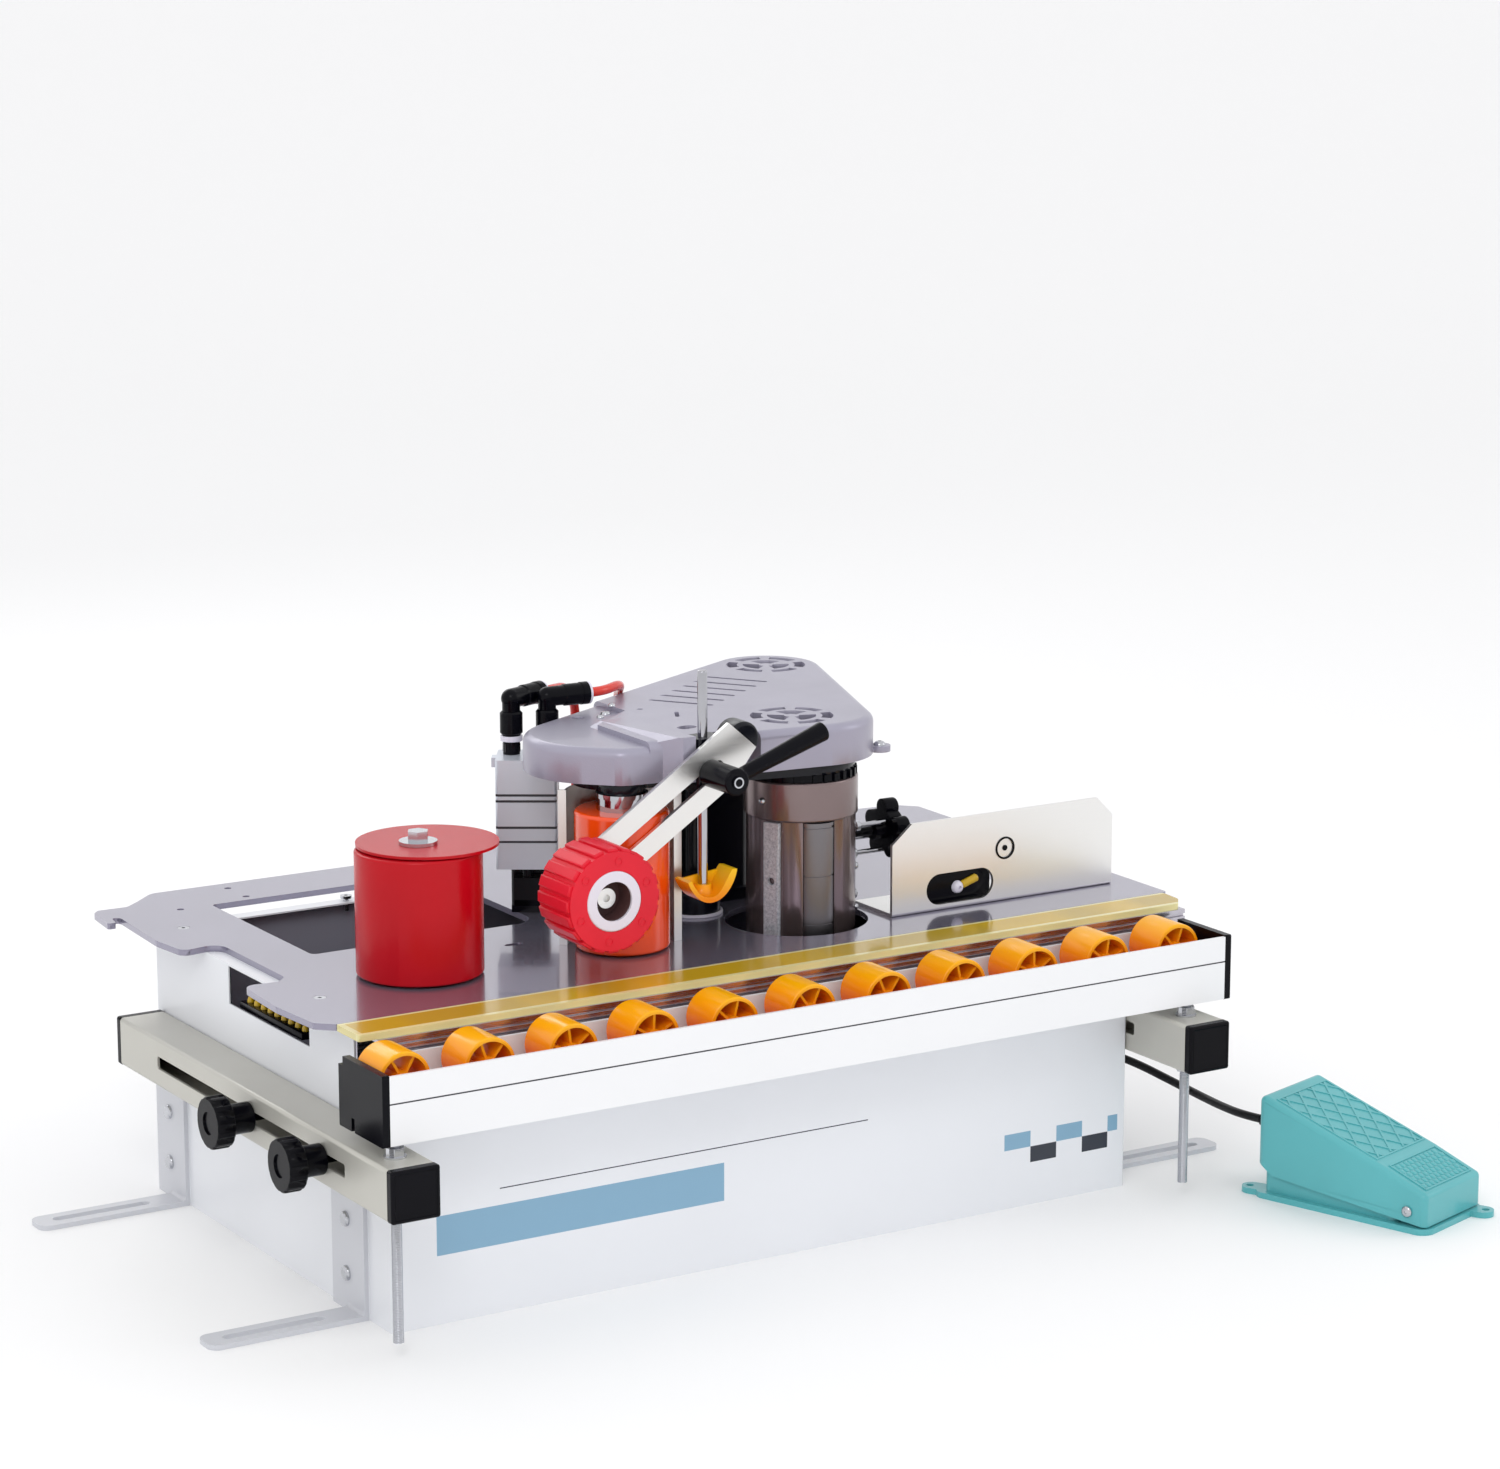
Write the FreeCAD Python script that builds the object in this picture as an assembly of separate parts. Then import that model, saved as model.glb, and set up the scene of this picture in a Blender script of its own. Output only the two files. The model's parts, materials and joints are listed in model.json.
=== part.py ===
import FreeCAD, Part
import math
import os

# Small bench-top edge banding machine, in millimetres.
# Every piece is built from the cabinet's front left bottom corner: X runs right along the cabinet,
# Y runs back, Z runs up. save() then moves the origin to the middle of the cabinet's bottom face.

V = FreeCAD.Vector
X_AXIS = V(1, 0, 0)
Y_AXIS = V(0, 1, 0)
Z_AXIS = V(0, 0, 1)

# ---- driving dimensions ----
CABINET_W = 680.0          # cabinet width
CABINET_D = 417.0          # cabinet depth
SHEET = 2.0                # cabinet sheet thickness
LEDGE_Z = 160.0            # height of the front ledge under the roller rail
STEP_BACK = 15.0           # how far the upper front stands back from the lower front
TABLE_Z = 229.0            # working surface
TABLE_T = 5.0              # table plate thickness
WALL_TOP = TABLE_Z - TABLE_T
WORK_Y = 102.0             # line along which the board's edge travels
TUBE = 40.0                # square extension tube
TUBE_WALL = 2.5
TUBE_Z = 115.6             # underside of the extension tubes
TUBE_FRONT = -77.0
TUBE_BACK = 400.0
TUBE_GAP = 0.5             # air between a tube and the cabinet's side
SLOT_Z = 136.2             # centre line of the tubes' long slots
ROD_Y = -52.0              # level rods stand on the tubes' centre lines
ROD_R = 4.0
RAIL_X0 = -27.0            # roller rail channel
RAIL_X1 = 735.0
RAIL_Y0 = -58.0
RAIL_Y1 = 13.0
RAIL_Z0 = 165.6
RAIL_H = 52.4
RAIL_WALL = 3.0
ROLLER_COUNT = 11
ROLLER_FIRST_X = -5.0
ROLLER_PITCH = 70.6
ROLLER_R = 21.5
ROLLER_W = 38.0
ROLLER_Y = -20.0           # middle of the rollers
ROLLER_Z = TABLE_Z - ROLLER_R
KNOB_Y = (28.0, 153.0)     # clamp knobs along each tube
BRACKET_FRONT_Y = (36.0, 361.0)
BRACKET_SCREW_Y = (65.0, 390.0)
BRACKET_SCREW_Z = (30.0, 73.0)
PRESS_X, PRESS_R = 107.0, 50.0
FEED_X, FEED_R = 282.0, 38.0
GLUE_X, GLUE_R = 450.0, 18.5
POT_X, POT_Y, POT_R = 456.0, 149.0, 46.0
MOTOR_X, MOTOR_Y = 548.0, 350.0
COVER_Z0 = 364.0           # skirt of the head cover
COVER_TOP = 397.0
COVER_DRUM_TOP = 393.0     # lower level on the cover's left
COVER_BLOCK_TOP = 401.0    # wedge-backed block beside the hold-down bracket
COVER_LOBES = [(297.0, 192.0, 66.0), (283.0, 141.0, 20.5), (462.0, 160.0, 60.0), (548.0, 350.0, 48.0)]
COVER_EARS = [(519.0, 128.0), (588.0, 376.0)]
MOTOR_LOW_R, MOTOR_HIGH_R, GLUE_PULLEY_R, FEED_PULLEY_R = 18.0, 10.5, 9.0, 12.0
LOW_BELT = (367.5, 373.5)      # heights between which each belt runs
HIGH_BELT = (378.0, 384.0)
CUTTER_X, CUTTER_Y, CUTTER_TURN = 272.7, 278.0, -32.0
ELBOWS = ((-13.0, 6.0, 20.0), (16.0, 14.0, -4.0))      # place on the air cylinder and outlet direction
FENCE_SLOTS = (560.0, 694.0)
HEAD_PLATE_Z = 356.0
ARM_Y = 97.0               # front face of the hold-down arm
ARM_T = 4.0
WHEEL_X, WHEEL_Z, WHEEL_R = 220.7, 293.7, 41.5
ARM_ANGLE = math.radians(33.0)
HUB_ALONG = 141.5          # clamp stud along the arm, from the wheel's axle
PEDAL_CORNER = V(805, -233, 0)
PEDAL_TURN = 18.0
PEDAL_L, PEDAL_W, PEDAL_REAR_H, PEDAL_TOE_H = 160.0, 86.0, 88.0, 33.0
PEDAL_KNEE_Y, PEDAL_KNEE_H = 42.0, 49.0      # where the pedal's toe meets its long slope
PIN_Y, PIN_Z = 17.0, 17.0      # pedal's hinge pin
PEDAL_GLAND_X, PEDAL_GLAND_Z, PEDAL_GLAND_REACH = 24.0, 58.0, 16.0
CABLE_D = 7.0
CABLE_EXIT = V(CABINET_W, 120, 82)
GLAND_REACH = 22.0
FIT = 0.06                 # radial clearance of a running fit


# ---- helpers ----
def save(name, *solids):
    shape = solids[0] if len(solids) == 1 else Part.makeCompound(list(solids))
    placed = shape.copy()
    placed.translate(V(-CABINET_W / 2, -CABINET_D / 2, 0))
    placed.exportStep("parts/" + name + ".step")
    return shape


def box(x0, y0, z0, x1, y1, z1):
    return Part.makeBox(x1 - x0, y1 - y0, z1 - z0, V(x0, y0, z0))


def cyl(r, base, axis, length):
    return Part.makeCylinder(r, length, base, axis)


def post(r, x, y, z0, z1):
    return cyl(r, V(x, y, z0), Z_AXIS, z1 - z0)


def ring(r_out, r_in, x, y, z0, z1):
    return post(r_out, x, y, z0, z1).cut(post(r_in, x, y, z0 - 1, z1 + 1))


def union(solids):
    result = solids[0]
    if len(solids) > 1:
        result = result.fuse(solids[1:])
    return result.removeSplitter()


def mirror_x(shape):
    return shape.mirror(V(CABINET_W / 2, 0, 0), X_AXIS)


def edges_where(shape, test):
    return [edge for edge in shape.Edges if test(edge)]


def upright(edge):
    """True for a straight edge that runs along Z."""
    if len(edge.Vertexes) != 2:
        return False
    a, b = (vertex.Point for vertex in edge.Vertexes)
    return abs(a.x - b.x) < 1e-6 and abs(a.y - b.y) < 1e-6


def rounded_wire(corners):
    """Closed outline in the XY plane from (x, y, corner radius)."""
    count = len(corners)
    starts, mids, ends = [], [], []
    for i, (x, y, r) in enumerate(corners):
        here = V(x, y, 0)
        before = V(corners[i - 1][0], corners[i - 1][1], 0) - here
        after = V(corners[(i + 1) % count][0], corners[(i + 1) % count][1], 0) - here
        before.normalize()
        after.normalize()
        half = before.getAngle(after) / 2
        reach = r / math.tan(half)
        inward = before + after
        inward.normalize()
        centre = here + inward * (r / math.sin(half))
        starts.append(here + before * reach)
        mids.append(centre - inward * r)
        ends.append(here + after * reach)
    edges = []
    for i in range(count):
        edges.append(Part.Arc(starts[i], mids[i], ends[i]).toShape())
        following = starts[(i + 1) % count]
        if (following - ends[i]).Length > 1e-6:
            edges.append(Part.LineSegment(ends[i], following).toShape())
    return Part.Wire(edges)


def rounded_prism(corners, z0, z1):
    wire = rounded_wire(corners)
    wire.translate(V(0, 0, z0))
    return Part.Face(wire).extrude(V(0, 0, z1 - z0))


def prism(points, direction):
    """Solid from a closed outline of plain points."""
    return Part.Face(Part.makePolygon(list(points) + [points[0]])).extrude(direction)


def hull_prism(circles, z0, z1):
    """Tight outline round circles (x, y, r) given anticlockwise, as a solid."""
    count = len(circles)
    normals = []
    for i in range(count):
        xa, ya, ra = circles[i]
        xb, yb, rb = circles[(i + 1) % count]
        length = math.hypot(xb - xa, yb - ya)
        normals.append(math.atan2(yb - ya, xb - xa) - math.acos((ra - rb) / length))

    def on(circle, angle):
        return V(circle[0] + circle[2] * math.cos(angle), circle[1] + circle[2] * math.sin(angle), z0)

    edges = []
    for i in range(count):
        arriving, leaving = normals[i - 1], normals[i]
        while leaving < arriving:
            leaving += 2 * math.pi
        middle = (arriving + leaving) / 2
        here, following = circles[i], circles[(i + 1) % count]
        edges.append(Part.Arc(on(here, arriving), on(here, middle), on(here, leaving)).toShape())
        edges.append(Part.LineSegment(on(here, leaving), on(following, leaving)).toShape())
    return Part.Face(Part.Wire(edges)).extrude(V(0, 0, z1 - z0))


def slot_prism(x, y, length, width, angle, z0, z1):
    """Round-ended slot, centred on x, y and turned by angle degrees."""
    half = (length - width) / 2
    shape = union([box(-half, -width / 2, z0, half, width / 2, z1),
                   post(width / 2, -half, 0, z0, z1), post(width / 2, half, 0, z0, z1)])
    shape.rotate(V(), Z_AXIS, angle)
    shape.translate(V(x, y, 0))
    return shape


def hexagon(flats, x, y, z0, z1):
    r = flats / math.sqrt(3)
    points = [V(x + r * math.cos(math.radians(60 * i)), y + r * math.sin(math.radians(60 * i)), z0)
              for i in range(6)]
    return prism(points, V(0, 0, z1 - z0))


def bent_tube(points, diameter, label):
    """Round cord along straight runs joined by tangent arcs; prints its radii and length."""
    edges, radii = [], []
    cursor = points[0]
    for before, here, after in zip(points, points[1:], points[2:]):
        back, ahead = before - here, after - here
        shorter = min(back.Length, ahead.Length)
        back.normalize()
        ahead.normalize()
        turn = math.pi - back.getAngle(ahead)
        reach = 0.45 * shorter
        radius = reach / math.tan(turn / 2)
        inward = back + ahead
        inward.normalize()
        start, end = here + back * reach, here + ahead * reach
        middle = here + inward * (radius / math.cos(turn / 2) - radius)
        edges.append(Part.LineSegment(cursor, start).toShape())
        edges.append(Part.Arc(start, middle, end).toShape())
        radii.append(round(radius, 1))
        cursor = end
    edges.append(Part.LineSegment(cursor, points[-1]).toShape())
    path = Part.Wire(edges)
    section = Part.Wire(Part.makeCircle(diameter / 2, points[0], points[1] - points[0]))
    tube = path.makePipeShell([section], True, True)
    expected = math.pi * diameter ** 2 / 4 * path.Length
    print(label, "radii", radii, "length", round(path.Length, 1), "volume ratio",
          round(tube.Volume / expected, 4))
    return tube


# ---- cabinet, brackets and table ----
def cabinet_shell():
    """Folded lower tray with its front ledge, and the flanged upper frame welded on it."""
    t, flange = SHEET, 14.0
    tray = box(0, 0, 0, CABINET_W, CABINET_D, LEDGE_Z)
    upper = box(0, STEP_BACK, LEDGE_Z, CABINET_W, CABINET_D, WALL_TOP)
    tray = tray.makeFillet(2.5, edges_where(tray, upright))
    upper = upper.makeFillet(2.5, edges_where(upper, upright))
    inside = box(t, t, t, CABINET_W - t, CABINET_D - t, LEDGE_Z - t)
    neck = box(t, STEP_BACK + t, LEDGE_Z - t - 1, CABINET_W - t, CABINET_D - t, WALL_TOP - t)
    mouth = box(flange, 60, WALL_TOP - 3, CABINET_W - flange, CABINET_D - flange, WALL_TOP + 1)
    rail_pocket = box(-1, -1, 190, CABINET_W + 1, 54, WALL_TOP + 1)
    side_window = box(-1, 130, 191, t + 1, 275, 208).fuse(box(-1, 212, 191, t + 1, 275, WALL_TOP - t))
    cuts = [inside, neck, mouth, rail_pocket, side_window]
    for y in KNOB_Y:
        cuts.append(cyl(ROD_R + FIT, V(-1, y, SLOT_Z), X_AXIS, t + 2))
        cuts.append(cyl(ROD_R + FIT, V(CABINET_W - t - 1, y, SLOT_Z), X_AXIS, t + 2))
    cuts.append(cyl(5.0, CABLE_EXIT - X_AXIS * (t + 1), X_AXIS, t + 2))
    cuts.extend(post(2.6, x, y, WALL_TOP - 3, WALL_TOP + 1) for x, y in TABLE_SCREWS)
    for bank_x in (150, 430):
        for i in range(8):
            cuts.append(box(bank_x + 14 * i, CABINET_D - t - 1, 70, bank_x + 14 * i + 4, CABINET_D + 1, 120))
    for y in BRACKET_SCREW_Y:
        for side in (-1, CABINET_W - t - 1):
            cuts.extend(cyl(2.6, V(side, y, z), X_AXIS, t + 2) for z in BRACKET_SCREW_Z)
    return [tray.cut(cuts), upper.cut(cuts)]


def floor_bracket(front_y):
    """Left-hand foot: wide flange on the cabinet's side, narrow slotted foot on the floor."""
    flange_w, flange_h, foot_w, foot_reach, thick = 54.0, 96.0, 28.0, 130.0, 4.0
    flange = box(-thick, front_y, 0, 0, front_y + flange_w, flange_h)
    flange = flange.makeFillet(6, edges_where(flange, lambda e: abs(e.CenterOfMass.z - flange_h) < 0.1
                                              and abs(e.Length - thick) < 0.1))
    foot = slot_prism(-foot_reach / 2, front_y + foot_w / 2, foot_reach + foot_w, foot_w, 0, 0, thick)
    foot = foot.common(box(-foot_reach, front_y, -1, -thick / 2, front_y + foot_w, thick + 1))
    foot = foot.makeFillet(9, edges_where(foot, lambda e: upright(e) and e.CenterOfMass.x < -100))
    bracket = flange.fuse(foot).removeSplitter()
    bend = edges_where(bracket, lambda e: abs(e.CenterOfMass.x + thick) < 0.1
                       and abs(e.CenterOfMass.z - thick) < 0.1)
    bracket = bracket.makeFillet(3, bend)
    slot = slot_prism(-72.5, front_y + foot_w / 2, 84, 9, 0, -1, thick + 1)
    holes = [cyl(2.8, V(-thick - 1, front_y + 29, z), X_AXIS, thick + 2) for z in BRACKET_SCREW_Z]
    return bracket.cut([slot] + holes)


def dome_screw(x, y, z, outward):
    """Pan-head screw through a bracket into the cabinet's side."""
    direction = V(outward, 0, 0)
    head = cyl(6.0, V(x, y, z), direction, 3.2)
    head = head.makeFillet(2.6, [head.Edges[0] if head.Edges[0].CenterOfMass.x * outward
                                 > head.Edges[2].CenterOfMass.x * outward else head.Edges[2]])
    return head.fuse(cyl(2.5, V(x, y, z), direction * -1, 9))


TABLE_OUTLINE = [
    (-14, 54, 2), (761, 54, 4), (766, 434, 6), (750, 451, 8), (704, 456, 20), (640, 500, 30),
    (33, 500, 14), (12, 480, 10), (-2, 468, 8), (-28, 469, 2), (-34, 462, 3), (-38, 424, 2),
    (-31, 424, 2), (-27, 446, 3), (-22, 434, 3), (-27, 353, 30), (-22, 312, 8), (12, 318, 12),
    (12, 197, 6), (2, 187, 4), (-27, 190, 10), (-31, 122, 40), (-27, 66, 6)]
TABLE_SCREWS = [(9.0, 380.0), (9.0, 129.0), (671.0, 129.0), (671.0, 380.0), (170.0, 409.0),
                (340.0, 409.0), (510.0, 409.0)]


def table_plate():
    plate = rounded_prism(TABLE_OUTLINE, WALL_TOP, TABLE_Z)
    low, high = WALL_TOP - 1, TABLE_Z + 1
    cuts = [rounded_prism([(60, 247, 5), (264, 247, 20), (264, 438, 5), (60, 438, 5)], low, high)]
    cuts.append(post(59, 448, 143, low, high))
    cuts.append(post(8.2, PRESS_X, WORK_Y + PRESS_R, low, high))
    cuts.append(post(6 + FIT, FEED_X, WORK_Y + FEED_R, low, high))
    for x, y in ((96, 483), (97, 449), (32, 437), (700, 300), (700, 350)):
        cuts.append(post(3.0, x, y, low, high))
    cuts.append(slot_prism(211, 191, 16, 6, 0, low, high))
    for x in FENCE_SLOTS:
        cuts.append(post(3.0, x, 138, low, high))
    for x, y in TABLE_SCREWS:
        cuts.append(post(2.6, x, y, low, high))
        cuts.append(post(5.2, x, y, TABLE_Z - 2.4, high))
    return plate.cut(cuts)


def panel_screws():
    """Bracket screws and flush table screws."""
    screws = []
    for y in BRACKET_SCREW_Y:
        for z in BRACKET_SCREW_Z:
            screws.append(dome_screw(-4.0, y, z, -1))
            screws.append(dome_screw(CABINET_W + 4.0, y, z, 1))
    for x, y in TABLE_SCREWS:
        head = post(5.0, x, y, TABLE_Z - 2.4, TABLE_Z - 0.1)
        head = head.cut(hexagon(3.0, x, y, TABLE_Z - 1.6, TABLE_Z + 1))
        screws.append(head.fuse(post(2.5, x, y, WALL_TOP - 8, TABLE_Z - 2.3)).removeSplitter())
    return screws


def guide_strip():
    """Flat wear strip along the table's front edge, its right end rounded off."""
    return rounded_prism([(-14, 17, 2), (744, 17, 4), (754, 30, 10), (756, 53.6, 3), (-14, 53.6, 1)],
                         WALL_TOP, TABLE_Z)


def front_extrusion():
    """Hollow grooved aluminium section that carries the strip."""
    x0, x1, y0, y1, z0, z1 = 1.0, 750.0, STEP_BACK + 0.3, 53.5, 190.3, WALL_TOP
    bar = box(x0, y0, z0, x1, y1, z1)
    cuts = [box(x0 - 1, y0 + 5, z0 + 3, x1 + 1, y1 - 3, z1 - 3)]
    for z in (197.5, 204.5, 211.5, 218.0):
        cuts.append(box(x0 - 1, y0 - 1, z, x1 + 1, y0 + 2.2, z + 2.4))
    return bar.cut(cuts)


# ---- extension: slotted tubes with plugs and level nuts ----
def tube_x(side):
    return -TUBE - TUBE_GAP if side == 0 else CABINET_W + TUBE_GAP


def extension_tube(side):
    x = tube_x(side)
    tube = box(x, TUBE_FRONT, TUBE_Z, x + TUBE, TUBE_BACK, TUBE_Z + TUBE)
    tube = tube.makeFillet(3, edges_where(tube, lambda e: e.Length > 400))
    w = TUBE_WALL
    bore = box(x + w, TUBE_FRONT - 1, TUBE_Z + w, x + TUBE - w, TUBE_BACK + 1, TUBE_Z + TUBE - w)
    slot = rounded_prism([(-9, -5.2, 2), (327, -5.2, 2), (327, 5.2, 2), (-9, 5.2, 2)], -30, 30)
    slot.rotate(V(), X_AXIS, 90)
    slot.rotate(V(), Z_AXIS, 90)
    slot.translate(V(x + TUBE / 2, 0, SLOT_Z))
    rod_hole = post(ROD_R + 0.4, x + TUBE / 2, ROD_Y, TUBE_Z - 1, TUBE_Z + TUBE + 1)
    return tube.cut([bore, slot, rod_hole])


def tube_plug(side, end):
    """Square cap with a shallow frame on its face and a stem inside the tube."""
    x = tube_x(side)
    face = TUBE_FRONT - 8 if end == 0 else TUBE_BACK
    inner_face = TUBE_FRONT if end == 0 else TUBE_BACK
    outer_face = face if end == 0 else TUBE_BACK + 8
    cap = box(x, face, TUBE_Z, x + TUBE, face + 8, TUBE_Z + TUBE)
    cap = cap.makeFillet(2.2, edges_where(cap, lambda e: abs(e.CenterOfMass.y - inner_face) > 0.5))
    rim = 3.0
    dish = box(x + rim, outer_face - 0.5, TUBE_Z + rim, x + TUBE - rim, outer_face + 0.5, TUBE_Z + TUBE - rim)
    w = TUBE_WALL + 0.1
    depth = 12 if end == 0 else -12
    y0, y1 = sorted((inner_face, inner_face + depth))
    stem = box(x + w, y0, TUBE_Z + w, x + TUBE - w, y1, TUBE_Z + TUBE - w)
    hollow = box(x + w + 2, y0 - 1 if end else y0 + 2, TUBE_Z + w + 2, x + TUBE - w - 2,
                 y1 - 2 if end else y1 + 1, TUBE_Z + TUBE - w - 2)
    return cap.cut(dish).fuse(stem.cut(hollow)).removeSplitter()


def rod_x(side):
    return tube_x(side) + TUBE / 2


def level_nuts():
    """Washer and nut above each tube, nut below it, all threaded on the level rods."""
    pieces = []
    for side in (0, 1):
        x = rod_x(side)
        top = TUBE_Z + TUBE
        stacks = [post(8.5, x, ROD_Y, top, top + 1.4).fuse(hexagon(13, x, ROD_Y, top + 1.3, top + 7.8)),
                  hexagon(13, x, ROD_Y, TUBE_Z - 6.5, TUBE_Z)]
        pieces.extend(s.cut(post(ROD_R + FIT, x, ROD_Y, 90, 200)) for s in stacks)
    return pieces


# ---- roller rail ----
def conveyor_rail():
    channel = box(RAIL_X0, RAIL_Y0, RAIL_Z0, RAIL_X1, RAIL_Y1, RAIL_Z0 + RAIL_H)
    w = RAIL_WALL
    cuts = [box(RAIL_X0 - 1, RAIL_Y0 + w, RAIL_Z0 + w, RAIL_X1 + 1, RAIL_Y1 - w, RAIL_Z0 + RAIL_H + 1),
            box(RAIL_X0 - 1, RAIL_Y1 - w - 1, RAIL_Z0 + 47, RAIL_X1 + 1, RAIL_Y1 + 1, RAIL_Z0 + RAIL_H + 1),
            box(RAIL_X0 - 1, RAIL_Y0 - 1, RAIL_Z0 + 31, RAIL_X1 + 1, RAIL_Y0 + 0.8, RAIL_Z0 + 32.2)]
    for i in range(ROLLER_COUNT):
        x = ROLLER_FIRST_X + ROLLER_PITCH * i
        cuts.append(cyl(ROD_R, V(x, RAIL_Y0 + 1.2, ROLLER_Z), Y_AXIS, RAIL_Y1 - RAIL_Y0))
    for side in (0, 1):
        cuts.append(post(ROD_R, rod_x(side), ROD_Y, RAIL_Z0 - 1, RAIL_Z0 + w))
    return channel.cut(cuts)


def rail_cap(side):
    """End plate with a foot notch and two tongues inside the channel."""
    thick = 6.0
    x0 = RAIL_X0 - thick if side == 0 else RAIL_X1
    plate = box(x0, RAIL_Y0, RAIL_Z0 - 0.6, x0 + thick, RAIL_Y1, RAIL_Z0 + RAIL_H + 1.2)
    plate = plate.makeFillet(1.5, edges_where(plate, lambda e: abs(e.Length - thick) < 0.1))
    plate = plate.cut([box(x0 - 1, -12, RAIL_Z0 - 2, x0 + thick + 1, -7, RAIL_Z0 + 10),
                       box(x0 - 1, RAIL_Y1 - 7, RAIL_Z0 + 46.5, x0 + thick + 1, RAIL_Y1 + 1, RAIL_Z0 + 60)])
    t0, t1 = (RAIL_X0 - 0.1, RAIL_X0 + 6) if side == 0 else (RAIL_X1 - 6, RAIL_X1 + 0.1)
    tongues = [box(t0, RAIL_Y0 + 3.2, RAIL_Z0 + 20, t1, RAIL_Y0 + 6, RAIL_Z0 + 50),
               box(t0, RAIL_Y1 - 6, RAIL_Z0 + 20, t1, RAIL_Y1 - 3.2, RAIL_Z0 + 44)]
    return union([plate] + tongues)


def rail_fasteners():
    """Roller axles across the channel, and the two long level rods welded into its floor."""
    pieces = []
    for i in range(ROLLER_COUNT):
        x = ROLLER_FIRST_X + ROLLER_PITCH * i
        pieces.append(cyl(ROD_R - FIT, V(x, RAIL_Y0 + 1.3, ROLLER_Z), Y_AXIS, RAIL_Y1 - RAIL_Y0 - 1.6))
    pieces.extend(post(ROD_R, rod_x(side), ROD_Y, 14, RAIL_Z0 + RAIL_WALL) for side in (0, 1))
    return pieces


def conveyor_roller(index):
    """Hollow skate roller: thin tyre, hub and six radial ribs set back from both faces."""
    x = ROLLER_FIRST_X + ROLLER_PITCH * index
    y0 = ROLLER_Y - ROLLER_W / 2
    start = V(x, y0, ROLLER_Z)
    tyre = cyl(ROLLER_R, start, Y_AXIS, ROLLER_W)
    tyre = tyre.makeFillet(1.2, edges_where(tyre, lambda e: abs(e.Length - 2 * math.pi * ROLLER_R) < 0.1))
    tyre = tyre.cut(cyl(ROLLER_R - 3, start - Y_AXIS, Y_AXIS, ROLLER_W + 2))
    pieces = [tyre, cyl(6.5, start + Y_AXIS * 2, Y_AXIS, ROLLER_W - 4)]
    for k in range(6):
        rib = box(x, y0 + 3, ROLLER_Z - 1, x + ROLLER_R - 2, y0 + ROLLER_W - 3, ROLLER_Z + 1)
        rib.rotate(V(x, 0, ROLLER_Z), Y_AXIS, 60 * k + 11 * index)
        pieces.append(rib)
    return union(pieces).cut(cyl(ROD_R, start - Y_AXIS, Y_AXIS, ROLLER_W + 2))


def clamp_knob(side, y):
    """Fluted knob with a waisted hub; its stud passes through the tube's slot into the cabinet."""
    face = -TUBE - TUBE_GAP - 0.4
    axis = V(-1, 0, 0)
    at = V(face, y, SLOT_Z)
    hub = cyl(12.0, at, axis, 22)
    hub = hub.makeFillet(1.5, [max(hub.Edges, key=lambda e: e.CenterOfMass.x + e.Length)])
    head = cyl(20.5, at + axis * 20, axis, 15)
    head = head.makeFillet(2.0, edges_where(head, lambda e: e.Length > 100))
    flutes = []
    for k in range(12):
        angle = 2 * math.pi * k / 12
        centre = V(face - 19, y + 22.4 * math.cos(angle), SLOT_Z + 22.4 * math.sin(angle))
        flutes.append(cyl(3.7, centre, axis, 18))
    stud = cyl(ROD_R - 0.02, V(face - 1, y, SLOT_Z), X_AXIS, -face + 7)
    recess = cyl(9, at + axis * 33.5, axis, 3)
    knob = union([hub, head.cut(flutes + [recess]), stud])
    return knob if side == 0 else mirror_x(knob)


# ---- head: cover, plate, motor and belts ----
def grown(circles, amount):
    return [(x, y, r + amount) for x, y, r in circles]


def rosette(x, y, z0, z1):
    """Round vent: six curved windows round three inner ones."""
    cuts = []
    for r_out, r_in, count, gap in ((34.0, 25.0, 6, 16.0), (20.0, 6.0, 3, 40.0)):
        band = ring(r_out, r_in, x, y, z0, z1)
        for k in range(count):
            a0 = 2 * math.pi * k / count + math.radians(gap) / 2
            a1 = 2 * math.pi * (k + 1) / count - math.radians(gap) / 2
            wedge = [V(x, y, z0)]
            for step in range(4):
                a = a0 + (a1 - a0) * step / 3
                wedge.append(V(x + 50 * math.cos(a), y + 50 * math.sin(a), z0))
            cuts.append(band.common(prism(wedge, V(0, 0, z1 - z0))))
    return cuts


def soft_topped(top):
    """Cover outline as a solid whose upper rim is rounded."""
    shape = hull_prism(COVER_LOBES, COVER_Z0, top)
    return shape.makeFillet(7, edges_where(shape, lambda e: e.CenterOfMass.z > top - 0.1))


def cover_block():
    """Block beside the hold-down bracket: its top slopes down to the left and to the rear."""
    plan = [V(291, 136, COVER_Z0), V(318, 104.5, COVER_Z0), V(329.5, 104.5, COVER_Z0),
            V(329.5, 215, COVER_Z0), V(291, 215, COVER_Z0)]
    block = prism(plan, V(0, 0, COVER_BLOCK_TOP - COVER_Z0))
    left_slope = prism([V(280, 100, COVER_DRUM_TOP), V(296, 100, COVER_DRUM_TOP),
                        V(316, 100, COVER_BLOCK_TOP), V(316, 100, 410), V(280, 100, 410)], V(0, 120, 0))
    rear_slope = prism([V(285, 104, COVER_BLOCK_TOP), V(285, 216, COVER_TOP), V(285, 216, 410),
                        V(285, 104, 410)], V(50, 0, 0))
    return block.cut([left_slope, rear_slope])


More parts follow.
